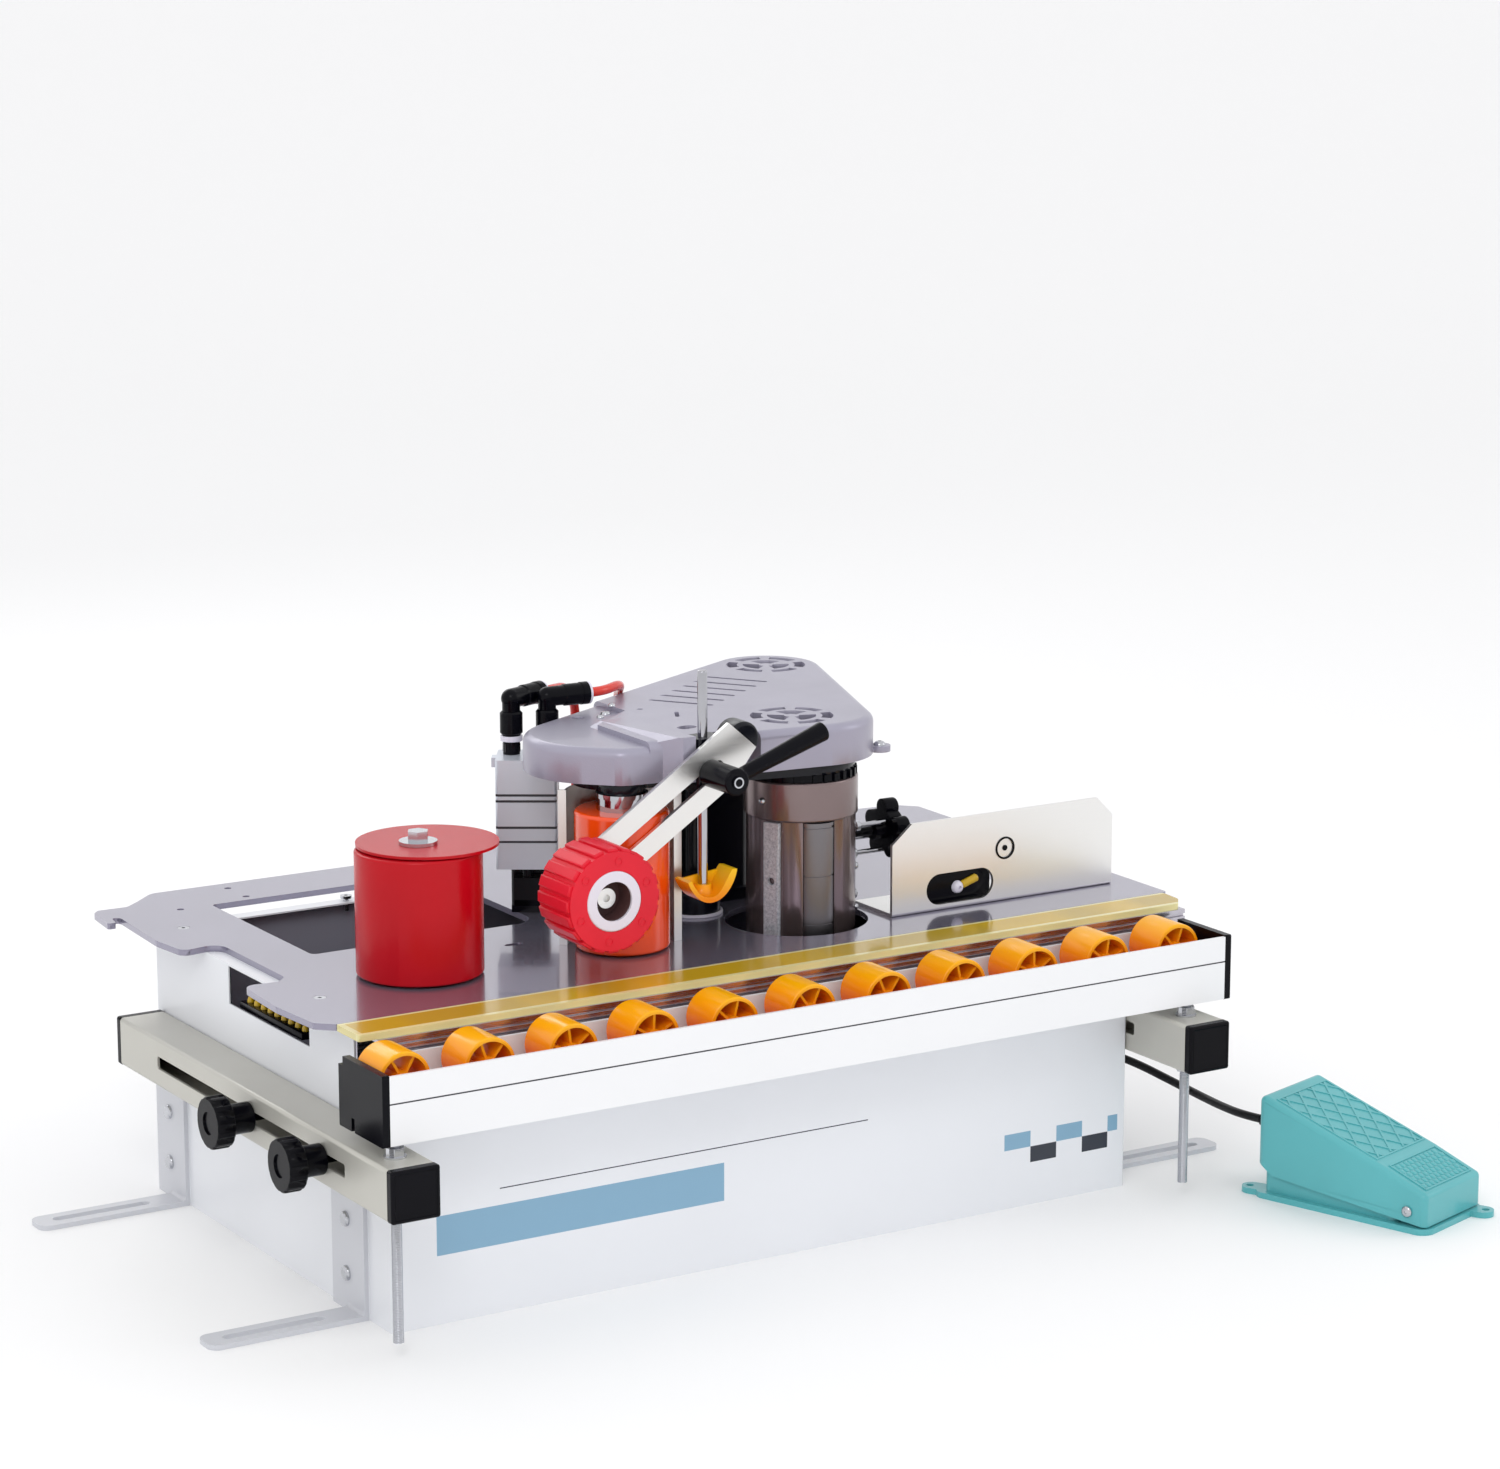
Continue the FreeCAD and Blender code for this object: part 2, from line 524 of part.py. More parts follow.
def head_cover():
    """Cast cover over the belts: long rounded outline, a lower level on the left, vents on top."""
    wall, roof = 4.0, 388.0
    low, high = COVER_Z0 - 1, COVER_TOP + 6
    notch = box(330, 60, low, 392, 128, high)
    drum = prism([V(200, 80, low), V(296, 80, low), V(296, 202, low), V(344, 241, low), V(344, 330, low),
                  V(200, 330, low)], V(0, 0, high - low))
    upper = soft_topped(COVER_TOP).cut([notch, drum])
    lower = soft_topped(COVER_DRUM_TOP).common(drum).cut(notch)
    ears = [post(9, x, y, COVER_Z0, COVER_Z0 + 5) for x, y in COVER_EARS]
    outer = union([upper, lower, cover_block()] + ears)
    inner = hull_prism(grown(COVER_LOBES, -wall), low, roof)
    inner = inner.cut(box(326, 60, low - 1, 396, 132, roof + 1))
    cuts = [inner]
    cuts += [post(3, x, y, low, high) for x, y in COVER_EARS]
    cuts += rosette(449, 152, roof - 1, high)
    cuts += rosette(548, 350, roof - 1, high)
    for i in range(6):
        x, y = 400 + 18.2 * i, 245 + 12.4 * i
        cuts.append(slot_prism(x, y, 58, 4.5, -55, roof - 1, high))
    cuts += [post(5.5, 306, 252, roof - 1, high), post(2.6, 357, 239, roof - 1, high)]
    cuts.append(slot_prism(372, 205, 20, 3.5, 62, roof - 1, high))
    cuts.append(slot_prism(352, 156, 17, 12, 8, roof - 1, high))
    return outer.cut(cuts)


def head_column():
    """Cast column and head plate: carries the shafts' bearings, the cover and the motor."""
    plate = hull_prism([(290, 172, 30), (POT_X, POT_Y, 44), (MOTOR_X, MOTOR_Y, 40)],
                       HEAD_PLATE_Z, COVER_Z0 - 0.5)
    bosses = [post(19, FEED_X, WORK_Y + FEED_R, HEAD_PLATE_Z, COVER_Z0 - 0.5),
              box(332, 127, HEAD_PLATE_Z, 354, 160, COVER_Z0 - 0.5)]
    column = box(398, 228, TABLE_Z, 456, 280, HEAD_PLATE_Z + 1)
    column = column.makeFillet(8, edges_where(column, upright))
    ribs = [box(392, 240 + 14 * i, TABLE_Z, 462, 244 + 14 * i, HEAD_PLATE_Z) for i in range(3)]
    foot = box(385, 222, TABLE_Z, 470, 290, TABLE_Z + 10)
    foot = foot.makeFillet(8, edges_where(foot, upright))
    shoe = post(22, 388, 206, TABLE_Z, TABLE_Z + 32)
    shoe = shoe.makeFillet(9, edges_where(shoe, lambda e: abs(e.CenterOfMass.z - TABLE_Z - 32) < 0.1))
    casting = union([plate] + bosses + [column, foot, shoe] + ribs)
    glue_y = glue_centre_y()
    holes = [post(10 + FIT, FEED_X, WORK_Y + FEED_R, HEAD_PLATE_Z - 1, COVER_Z0),
             post(6 + FIT, GLUE_X, glue_y, HEAD_PLATE_Z - 1, COVER_Z0),
             post(6 + FIT, MOTOR_X, MOTOR_Y, HEAD_PLATE_Z - 1, COVER_Z0)]
    return casting.cut(holes)


def glue_centre_y():
    return WORK_Y + GLUE_R


def drive_motor():
    """Geared motor hung under the head plate: finned body, end bell and terminal box."""
    body = post(38, MOTOR_X, MOTOR_Y, 252, HEAD_PLATE_Z)
    fins = [ring(40.5, 37, MOTOR_X, MOTOR_Y, 262 + 8 * i, 265 + 8 * i) for i in range(9)]
    bell = post(34, MOTOR_X, MOTOR_Y, 238, 253)
    bell = bell.makeFillet(8, edges_where(bell, lambda e: abs(e.CenterOfMass.z - 238) < 0.1))
    terminal = box(MOTOR_X - 20, MOTOR_Y + 30, 280, MOTOR_X + 20, MOTOR_Y + 54, 330)
    terminal = terminal.makeFillet(3, edges_where(terminal, upright))
    bore = post(6 + FIT, MOTOR_X, MOTOR_Y, 320, HEAD_PLATE_Z + 1)
    return union([body, bell, terminal] + fins).cut(bore)


def motor_pulley():
    """Two-step pulley on the motor's shaft."""
    return union([post(6, MOTOR_X, MOTOR_Y, 322, 386),
                  post(MOTOR_LOW_R, MOTOR_X, MOTOR_Y, LOW_BELT[0] - 1, LOW_BELT[1] + 1),
                  post(MOTOR_HIGH_R, MOTOR_X, MOTOR_Y, HIGH_BELT[0] - 1, HIGH_BELT[1] + 1)])


def belt(driver, driven, levels):
    """Flat belt loop round two pulleys, 0.3 mm off their faces."""
    gap, thick = 0.3, 2.5
    outside = hull_pair(driver, driven, gap + thick, levels)
    return outside.cut(hull_pair(driver, driven, gap, (levels[0] - 1, levels[1] + 1)))


def hull_pair(a, b, growth, levels):
    return hull_prism(grown([a, b], growth), levels[0], levels[1])


def drive_belts():
    glue = belt((MOTOR_X, MOTOR_Y, MOTOR_LOW_R), (GLUE_X, glue_centre_y(), GLUE_PULLEY_R), LOW_BELT)
    feed = belt((MOTOR_X, MOTOR_Y, MOTOR_HIGH_R), (FEED_X, WORK_Y + FEED_R, FEED_PULLEY_R), HIGH_BELT)
    return [glue, feed]


# ---- glue station ----
def glue_pot():
    """Heated pot: collar ring above, C-shaped body below that is open towards the board."""
    body = post(POT_R - 1, POT_X, POT_Y, 200, 318)
    collar = post(POT_R + 0.8, POT_X, POT_Y, 317, 349.7)
    collar = collar.makeFillet(2, edges_where(collar, lambda e: e.Length > 200))
    cavity = post(26, POT_X + 6, POT_Y + 8, 214, 350.5)
    y = glue_centre_y()
    mouth = [V(GLUE_X, y, 199)]
    for degrees in (212, 230, 250, 270, 286):
        a = math.radians(degrees)
        mouth.append(V(GLUE_X + 60 * math.cos(a), y + 60 * math.sin(a), 199))
    opening = prism(mouth, V(0, 0, 118))
    seat = post(GLUE_R + 0.5, GLUE_X, y, 199, 317)
    neck = post(6 + FIT, GLUE_X, y, 300, 352)
    knob_hole = cyl(4 + FIT, V(POT_X + 25, 150, 292), X_AXIS, 30)
    return body.fuse(collar).cut([cavity, opening, seat, neck, knob_hole])


def pot_insulator():
    """Ribbed black ring between the hot collar and the head plate."""
    r_in, r_out = 36.6, 44.0
    blank = ring(r_out, r_in, POT_X, POT_Y, 349.9, HEAD_PLATE_Z - 0.1)
    ribs = []
    for k in range(30):
        rib = box(r_out - 2, -1.6, 349.9, r_out + 2, 1.6, HEAD_PLATE_Z - 0.1)
        rib.rotate(V(), Z_AXIS, 12 * k)
        rib.translate(V(POT_X, POT_Y, 0))
        ribs.append(rib)
    return union([blank] + ribs)


def glue_roller():
    """Knurled glue roller with its shaft and belt pulley."""
    y = glue_centre_y()
    pieces = [post(GLUE_R, GLUE_X, y, 210, 316.4), post(6, GLUE_X, y, 316, 376)]
    pieces.append(post(GLUE_PULLEY_R, GLUE_X, y, LOW_BELT[0] - 1, LOW_BELT[1] + 1))
    grooves = [ring(GLUE_R + 1, GLUE_R - 0.8, GLUE_X, y, 232 + 40 * i, 233.6 + 40 * i) for i in range(3)]
    return union(pieces).cut(grooves)


def pot_scraper():
    """Bright bar down the pot's left front, with one adjusting hole."""
    angle = 208.0
    bar = box(POT_R - 1, -7, 204, POT_R + 3, 7, 316.5)
    bar = bar.cut(cyl(3.0, V(POT_R - 3, 0, 268), X_AXIS, 10))
    bar.rotate(V(), Z_AXIS, angle)
    bar.translate(V(POT_X, POT_Y, 0))
    return bar.cut(post(POT_R - 1, POT_X, POT_Y, 190, 320))


def glue_knob():
    """Five-lobed star knob on the glue metering screw."""
    at = V(536, 150, 292)
    disc = cyl(17, at, X_AXIS, 13)
    lobes = []
    for k in range(5):
        a = math.radians(72 * k + 18)
        lobes.append(cyl(7.5, at + V(0, 18 * math.cos(a), 18 * math.sin(a)), X_AXIS, 13))
    head = union([disc] + lobes)
    head = head.makeFillet(1.8, edges_where(head, lambda e: len(e.Vertexes) == 2 and e.Length > 4
                                            and abs(e.CenterOfMass.x - 549) < 0.1))
    screw = cyl(4, V(POT_X + 34, 150, 292), X_AXIS, 60)
    collar = cyl(8, V(526, 150, 292), X_AXIS, 11)
    return union([head, screw, collar])


# ---- feed and press rollers ----
def feed_roller():
    y = WORK_Y + FEED_R
    sleeve = post(FEED_R, FEED_X, y, TABLE_Z + 1, 342)
    sleeve = sleeve.makeFillet(3, edges_where(sleeve, lambda e: e.Length > 200))
    return sleeve.cut(post(20, FEED_X, y, TABLE_Z, 353))


def feed_shaft():
    """Chrome core and collar of the feed roller, with its journal, neck and belt pulley."""
    y = WORK_Y + FEED_R
    return union([post(19.95, FEED_X, y, TABLE_Z + 1, 351), post(21, FEED_X, y, 352.1, 355.7),
                  post(19.95, FEED_X, y, 350, 353), post(6, FEED_X, y, 215, TABLE_Z + 2),
                  post(10, FEED_X, y, 355, 377.5),
                  post(FEED_PULLEY_R, FEED_X, y, HIGH_BELT[0] - 1, HIGH_BELT[1] + 1)])


def feed_guard():
    """Sheet shield that wraps the back of the feed roller and ends in two upright lips."""
    y = WORK_Y + FEED_R
    shell = ring(46, 44.4, FEED_X, y, TABLE_Z, HEAD_PLATE_Z - 0.3)
    wedge = [V(FEED_X, y, TABLE_Z - 1)]
    for degrees in (-8, 30, 68, 106, 142):
        a = math.radians(degrees)
        wedge.append(V(FEED_X + 90 * math.cos(a), y + 90 * math.sin(a), TABLE_Z - 1))
    shell = shell.common(prism(wedge, V(0, 0, 140)))
    lips = []
    for degrees in (-8, 142):
        lip = box(44.4, -0.8, TABLE_Z, 51, 0.8, HEAD_PLATE_Z - 0.3)
        lip.rotate(V(), Z_AXIS, degrees)
        lip.translate(V(FEED_X, y, 0))
        lips.append(lip)
    return union([shell] + lips)


def press_roller():
    y = WORK_Y + PRESS_R
    drum = post(PRESS_R, PRESS_X, y, TABLE_Z + 1.5, 329)
    drum = drum.makeFillet(2, edges_where(drum, lambda e: e.Length > 200))
    return drum.cut(post(8 + FIT, PRESS_X, y, TABLE_Z, 330))


def press_roller_post():
    """Fixed axle of the press roller, with its flange, washer and bolt head."""
    y = WORK_Y + PRESS_R
    head = hexagon(15, PRESS_X, y, 335.2, 343)
    return union([post(8, PRESS_X, y, 212, 332.6), post(15, PRESS_X, y, TABLE_Z, TABLE_Z + 1.1),
                  post(15, PRESS_X, y, 332.5, 335.3), head])


def press_roller_guard():
    """Thin offset disc over the press roller."""
    disc = post(56, PRESS_X + 11, WORK_Y + PRESS_R + 6, 330, 332.3)
    return disc.cut(post(8 + FIT, PRESS_X, WORK_Y + PRESS_R, 329, 334))


# ---- tape cutter ----
def cutter_placed(shape):
    shape.rotate(V(), Z_AXIS, CUTTER_TURN)
    shape.translate(V(CUTTER_X, CUTTER_Y, 0))
    return shape


def cutter_cylinder():
    """Compact air cylinder with shallow ribs round its body."""
    body = box(-25, -22, 270, 25, 22, 361)
    body = body.makeFillet(2, edges_where(body, upright))
    cuts = [post(4 + FIT, 0, -12, 269, 330)]
    for z in (292.0, 304.0, 326.0, 331.0):
        cuts.append(box(-30, -30, z, 30, -20.8, z + 2))
        cuts.append(box(-30, 20.8, z, 30, 30, z + 2))
    ears = [box(-29, -6, 352, -24, 6, 360), box(24, -6, 352, 29, 6, 360)]
    return cutter_placed(union([body.cut(cuts)] + ears))


def cutter_base():
    """Black foot between the air cylinder and the table."""
    foot = box(-14, -2, TABLE_Z, 17, 22, 270)
    foot = foot.makeFillet(2.5, edges_where(foot, upright))
    flange = box(-14, -2, TABLE_Z, 17, 34, TABLE_Z + 6)
    return cutter_placed(foot.fuse(flange).removeSplitter())


def cutter_blade():
    """Piston rod, crosshead and blade; it drops to shear the tape."""
    rod = post(4, 0, -12, 256, 318)
    crosshead = box(-11, -19, 254, 11, -5, 262)
    blade = box(-11, -17, 237.5, 11, -14, 255)
    bevel = prism([V(-12, -17.01, 237.4), V(-12, -14.6, 237.4), V(-12, -17.01, 243)], V(24, 0, 0))
    return cutter_placed(union([rod, crosshead, blade]).cut(bevel))


def air_fittings():
    """Two push-in elbows on the air cylinder's top."""
    pieces = []
    for x, y, turn in ELBOWS:
        base = post(7, 0, 0, 361, 374).fuse(hexagon(13, 0, 0, 363, 370))
        stem = post(7.4, 0, 0, 374, 406)
        knee = Part.makeSphere(8.2, V(0, 0, 407))
        barrel = cyl(8.2, V(0, 0, 407), X_AXIS, 30)
        collar = cyl(9.4, V(30, 0, 407), X_AXIS, 6)
        elbow = union([base, stem, knee, barrel, collar])
        elbow = elbow.cut(cyl(4, V(24, 0, 407), X_AXIS, 20))
        elbow.rotate(V(), Z_AXIS, turn - CUTTER_TURN)
        elbow.translate(V(x, y, 0))
        pieces.append(cutter_placed(elbow))
    return pieces


def elbow_mouth(index):
    """Point and direction at which a hose leaves an elbow."""
    x, y, turn = ELBOWS[index]
    c, s = math.cos(math.radians(CUTTER_TURN)), math.sin(math.radians(CUTTER_TURN))
    centre = V(CUTTER_X + x * c - y * s, CUTTER_Y + x * s + y * c, 407)
    way = V(math.cos(math.radians(turn)), math.sin(math.radians(turn)), 0)
    return centre + way * 25, way


def air_hoses():
    """Short hoses from the elbows down behind the cover to the table."""
    first, way = elbow_mouth(0)
    hose_a = bent_tube([first, first + way * 22, V(336, 326, 404), V(356, 346, 386), V(364, 359, 353),
                        V(366, 363, 312), V(365, 363.5, 270), V(365, 363.5, TABLE_Z)], 8, "air hose A")
    second, way = elbow_mouth(1)
    hose_b = bent_tube([second, second + way * 26, V(370, 293, 408), V(386, 325, 393), V(393, 341, 360),
                        V(394, 347, 318), V(393, 347.5, 274), V(393, 347.5, TABLE_Z)], 8, "air hose B")
    return [hose_a, hose_b]


# ---- hold-down wheel, arm, clamp and height rod ----
def on_arm(along, across):
    c, s = math.cos(ARM_ANGLE), math.sin(ARM_ANGLE)
    return V(WHEEL_X + along * c - across * s, 0, WHEEL_Z + along * s + across * c)


def clamp_centre():
    return on_arm(HUB_ALONG, 1.0)


def hold_down_bracket():
    """Block on the head plate that the height rod and the clamp stud pass into, with its round boss."""
    hub = clamp_centre()
    block = box(331.5, 104, 354, 356, 127, 398)
    block = block.makeFillet(3, edges_where(block, upright))
    boss = cyl(14, V(374, 103, 394), Y_AXIS, 21)
    boss = boss.makeFillet(3, edges_where(boss, lambda e: abs(e.CenterOfMass.y - 103) < 0.1))
    web = box(350, 108, 376, 374, 124, 396)
    holes = [post(ROD_R + FIT, 340, 112, 340, 410),
             cyl(ROD_R + FIT, V(hub.x, 103, hub.z), Y_AXIS, 4.6)]
    return union([block, boss, web]).cut(holes)


def height_rod():
    """Chrome rod with a domed top and a slotted lower end."""
    rod = post(ROD_R, 340, 112, 272, 452)
    return rod.makeFillet(1.5, edges_where(rod, lambda e: abs(e.CenterOfMass.z - 452) < 0.1))


def tape_tongue():
    """Scoop-shaped tongue on the height rod's foot that lays the tape on the edge."""
    outer = [V(317.5, 97, 285), V(324, 97, 274), V(334, 97, 267), V(346, 97, 267.5), V(358, 97, 278),
             V(363, 97, 291)]
    inner = [V(359, 97, 291.5), V(352, 97, 281), V(344, 97, 272), V(335, 97, 271), V(326, 97, 277.5),
             V(321, 97, 286)]
    curve_out = Part.BSplineCurve()
    curve_out.interpolate(outer)
    curve_in = Part.BSplineCurve()
    curve_in.interpolate(inner)
    outline = Part.Wire([curve_out.toShape(), Part.LineSegment(outer[-1], inner[0]).toShape(),
                         curve_in.toShape(), Part.LineSegment(inner[-1], outer[0]).toShape()])
    scoop = Part.Face(outline).extrude(V(0, 21, 0))
    seat = post(7, 340, 112, 270, 279)
    side = prism([V(323, 116, 277), V(334, 116, 269), V(345, 116, 270), V(355, 116, 280),
                  V(358, 116, 288), V(321, 116, 284)], V(0, 2, 0))
    return union([scoop, seat, side]).cut(post(ROD_R, 340, 112, 271.9, 300))


def hold_down_arm():
    """Slotted flat arm, and the socket-head axle bolt that carries the wheel."""
    outline = [(0, 22), (176.6, 24), (185.8, -8), (150, -20), (0, -20)]
    points = [on_arm(a, b) + V(0, ARM_Y, 0) for a, b in outline]
    plate = prism(points, V(0, ARM_T, 0))
    rounded_end = cyl(20, on_arm(0, 1) + V(0, ARM_Y, 0), Y_AXIS, ARM_T)
    plate = union([plate, rounded_end])
    slot = union([prism([on_arm(a, b) + V(0, ARM_Y - 1, 0) for a, b in
                         ((28, 6), (150, 6), (150, -4), (28, -4))], V(0, ARM_T + 2, 0)),
                  cyl(5, on_arm(28, 1) + V(0, ARM_Y - 1, 0), Y_AXIS, ARM_T + 2),
                  cyl(5, on_arm(150, 1) + V(0, ARM_Y - 1, 0), Y_AXIS, ARM_T + 2)])
    plate = plate.cut(slot)
    axle = cyl(5, V(WHEEL_X, 64, WHEEL_Z), Y_AXIS, ARM_Y - 64)
    head = cyl(8, V(WHEEL_X, 58, WHEEL_Z), Y_AXIS, 7)
    socket = cyl(3, V(WHEEL_X, 57, WHEEL_Z), Y_AXIS, 5)
    return [plate, axle.fuse(head).cut(socket).removeSplitter()]


def hold_down_wheel():
    """Soft lugged tyre."""
    y0, width = 46.0, 49.0
    start = V(WHEEL_X, y0, WHEEL_Z)
    core = cyl(WHEEL_R - 2.6, start, Y_AXIS, width)
    lugs = []
    for k in range(20):
        lug = box(WHEEL_X - 4.4, y0 + 1.5, WHEEL_Z + WHEEL_R - 6, WHEEL_X + 4.4, y0 + width - 1.5,
                  WHEEL_Z + WHEEL_R)
        lug = lug.makeFillet(1.3, edges_where(lug, lambda e: e.CenterOfMass.z > WHEEL_Z + WHEEL_R - 0.1))
        lug.rotate(start, Y_AXIS, 18 * k)
        lugs.append(lug)
    return union([core] + lugs).cut(cyl(24, start - Y_AXIS, Y_AXIS, width + 2))


def wheel_hub():
    """White bush inside the tyre, deeply recessed in front."""
    y0, width = 45.5, 49.5
    start = V(WHEEL_X, y0, WHEEL_Z)
    hub = cyl(23.95, start, Y_AXIS, width)
    hub = hub.makeFillet(1.5, edges_where(hub, lambda e: abs(e.CenterOfMass.y - y0) < 0.1 and e.Length > 20))
    return hub.cut([cyl(15.5, start - Y_AXIS, Y_AXIS, 21.2), cyl(5 + FIT, start, Y_AXIS, width + 1)])


def clamp_lever():
    """Ratchet lever: round hub, stud and tapered handle."""
    hub_at = clamp_centre()
    face = ARM_Y - 0.4
    hub = cyl(11, V(hub_at.x, face, hub_at.z), V(0, -1, 0), 40)
    hub = hub.makeFillet(2, edges_where(hub, lambda e: abs(e.CenterOfMass.y - face + 40) < 0.1
                                        and e.Length > 20))
    stud = cyl(ROD_R, V(hub_at.x, face - 1, hub_at.z), Y_AXIS, 11.5)
    lean = math.radians(19.4)
    way = V(math.cos(lean), 0, math.sin(lean))
    start = V(hub_at.x, face - 30, hub_at.z)
    handle = Part.makeCone(5.5, 8, 92, start, way)
    handle = handle.makeFillet(2.5, edges_where(handle, lambda e: abs(e.Length - 2 * math.pi * 8) < 0.1))
    cap = cyl(5.2, V(hub_at.x, face - 38.5, hub_at.z), V(0, -1, 0), 2.6)
    return union([hub, stud, handle, cap])


# ---- fence ----
def fence_plate():
    """Bent steel fence: upright with clipped corners, window and screw, foot on the table."""
    x0, x1, top = 515.0, 738.0, 305.5
    up = prism([V(x0, WORK_Y, TABLE_Z + 1.5), V(x1, WORK_Y, TABLE_Z + 1.5), V(x1, WORK_Y, top - 16),
                V(x1 - 16, WORK_Y, top), V(x0 + 19, WORK_Y, top), V(x0, WORK_Y, top - 16)], V(0, 3, 0))
    foot = box(x0, WORK_Y, TABLE_Z, x1, WORK_Y + 56, TABLE_Z + 3)
    fence = up.fuse(foot).removeSplitter()
    fence = fence.makeFillet(2.5, edges_where(fence, lambda e: abs(e.CenterOfMass.y - WORK_Y) < 0.1
                                              and abs(e.CenterOfMass.z - TABLE_Z) < 0.1))
    window = slot_prism(582.5, 0, 67, 26, 0, -10, 10)
    window.rotate(V(), X_AXIS, 90)
    window.translate(V(0, WORK_Y, 247))
    slots = [slot_prism(x, 138, 26, 7, 90, TABLE_Z - 1, TABLE_Z + 4) for x in FENCE_SLOTS]
    screw_seat = cyl(8.5, V(627.5, WORK_Y - 1, 274), Y_AXIS, 2.4)
    screw = cyl(8, V(627.5, WORK_Y + 0.4, 274), Y_AXIS, 3).cut(cyl(2.5, V(627.5, WORK_Y - 1, 274), Y_AXIS, 3))
    return union([fence.cut([window, screw_seat] + slots), screw])


def fence_screws():
    """Cap screws with washers that pin the fence's foot through its slots."""
    pieces = []
    for x in FENCE_SLOTS:
        top = TABLE_Z + 3
        pieces.append(union([post(8, x, 138, top + 0.1, top + 1.6), post(5, x, 138, top + 1.5, top + 7.5),
                             post(2.8, x, 138, WALL_TOP - 6, top + 1)]))
    return pieces


# ---- foot pedal, glands and cable ----
def pedal_placed(shape):
    shape.rotate(V(), Z_AXIS, PEDAL_TURN)
    shape.translate(PEDAL_CORNER)
    return shape


def pedal_point(x, y, z):
    c, s = math.cos(math.radians(PEDAL_TURN)), math.sin(math.radians(PEDAL_TURN))
    return PEDAL_CORNER + V(x * c - y * s, x * s + y * c, z)


def pedal_base():
    """Cast floor plate with two ears, inner walls, pivot posts and the cable tower."""
    w, length = PEDAL_W, PEDAL_L
    plate = rounded_prism([(-3, -3, 12), (w + 3, -3, 12), (w + 3, length + 3, 10),
                           (-3, length + 3, 10)], 0, 5)
    ears = [slot_prism(10, length + 6, 26, 18, 100, 0, 5), slot_prism(w - 10, -4, 26, 18, 100, 0, 5)]
    wall_out = rounded_prism([(4, 30, 6), (w - 4, 30, 6), (w - 4, length - 4, 6), (4, length - 4, 6)], 4, 26)
    wall_in = rounded_prism([(7, 33, 4), (w - 7, 33, 4), (w - 7, length - 7, 4), (7, length - 7, 4)], 5, 27)
    tower = box(PEDAL_GLAND_X - 11, length - 13, 4, PEDAL_GLAND_X + 11, length - 4, PEDAL_GLAND_Z + 7)
    cheeks = [box(x, PIN_Y - 7, 4, x + 4.8, PIN_Y + 9, PIN_Z + 6) for x in (7.2, w - 12)]
    base = union([plate] + ears + [wall_out.cut(wall_in), tower] + cheeks)
    holes = [post(3.2, 8.5, length + 12, -1, 6), post(3.2, w - 8.5, -10, -1, 6),
             cyl(4, V(-1, PIN_Y, PIN_Z), X_AXIS, w + 2),
             cyl(5.0, V(PEDAL_GLAND_X, length - 20, PEDAL_GLAND_Z), Y_AXIS, 30)]
    return pedal_placed(base.cut(holes))


def pedal_wedge(inset, top_drop, toe_extra):
    """Wedge-shaped body of the tread, inset all round."""
    w, length = PEDAL_W, PEDAL_L
    side = [V(inset, inset, 6 - toe_extra), V(inset, inset, PEDAL_TOE_H - top_drop),
            V(inset, PEDAL_KNEE_Y, PEDAL_KNEE_H - top_drop),
            V(inset, length - inset, PEDAL_REAR_H - top_drop),
            V(inset, length - inset, 30 - toe_extra), V(inset, length - 14, 20 - toe_extra)]
    return prism(side, V(w - 2 * inset, 0, 0))


def pedal_tread():
    """Cast hood: sloping top with a diamond-ribbed pad and a raised bumpy toe, hinged on the toe pin."""
    hood = pedal_wedge(0, 0, 0)
    hood = hood.makeFillet(5, edges_where(hood, lambda e: upright(e) or e.CenterOfMass.z > PEDAL_TOE_H - 0.1))
    hood = hood.cut(pedal_wedge(3.2, 4, 8))
    w, length = PEDAL_W, PEDAL_L
    hood = hood.cut([box(10, length - 5, 0, 38, length + 5, 75),
                     cyl(4.06, V(-1, PIN_Y, PIN_Z), X_AXIS, w + 2)])
    slope = math.atan2(PEDAL_REAR_H - PEDAL_KNEE_H, length - PEDAL_KNEE_Y)
    ribs = []
    run = 98.0
    for k in range(-3, 7):
        for lean in (40, -40):
            rib = box(-78, -0.9, -1.5, 78, 0.9, 0.9)
            rib.rotate(V(), Z_AXIS, 90 + lean)
            rib.translate(V(w / 2 + (k - 1.5) * 19, run / 2, 0))
            ribs.append(rib)
    pad = box(8, 0, -2, w - 8, run, 3)
    grid = union([rib.common(pad) for rib in ribs if rib.common(pad).Volume > 1])
    frame = box(6, -2, -1.5, w - 6, run + 2, 0.9).cut(box(7.8, -0.4, -3, w - 7.8, run + 0.4, 3))
    grid = grid.fuse(frame)
    grid.rotate(V(), X_AXIS, math.degrees(slope))
    grid.translate(V(0, 52, PEDAL_KNEE_H + 10 * math.tan(slope)))
    return pedal_placed(union([hood, grid]))


def pedal_pin():
    w = PEDAL_W
    return pedal_placed(cyl(3.97, V(-1.2, PIN_Y, PIN_Z), X_AXIS, w + 2.4))


def gland(at, way, reach):
    """Cable gland: hexagon flange, tapered nose, and a thread behind the wall."""
    nose = Part.makeCone(7.5, 5.2, reach - 5, at + way * 5, way)
    flange = cyl(9, at, way, 5.1)
    thread = cyl(4.9, at - way * 8, way, 8.1)
    return union([flange, nose, thread])


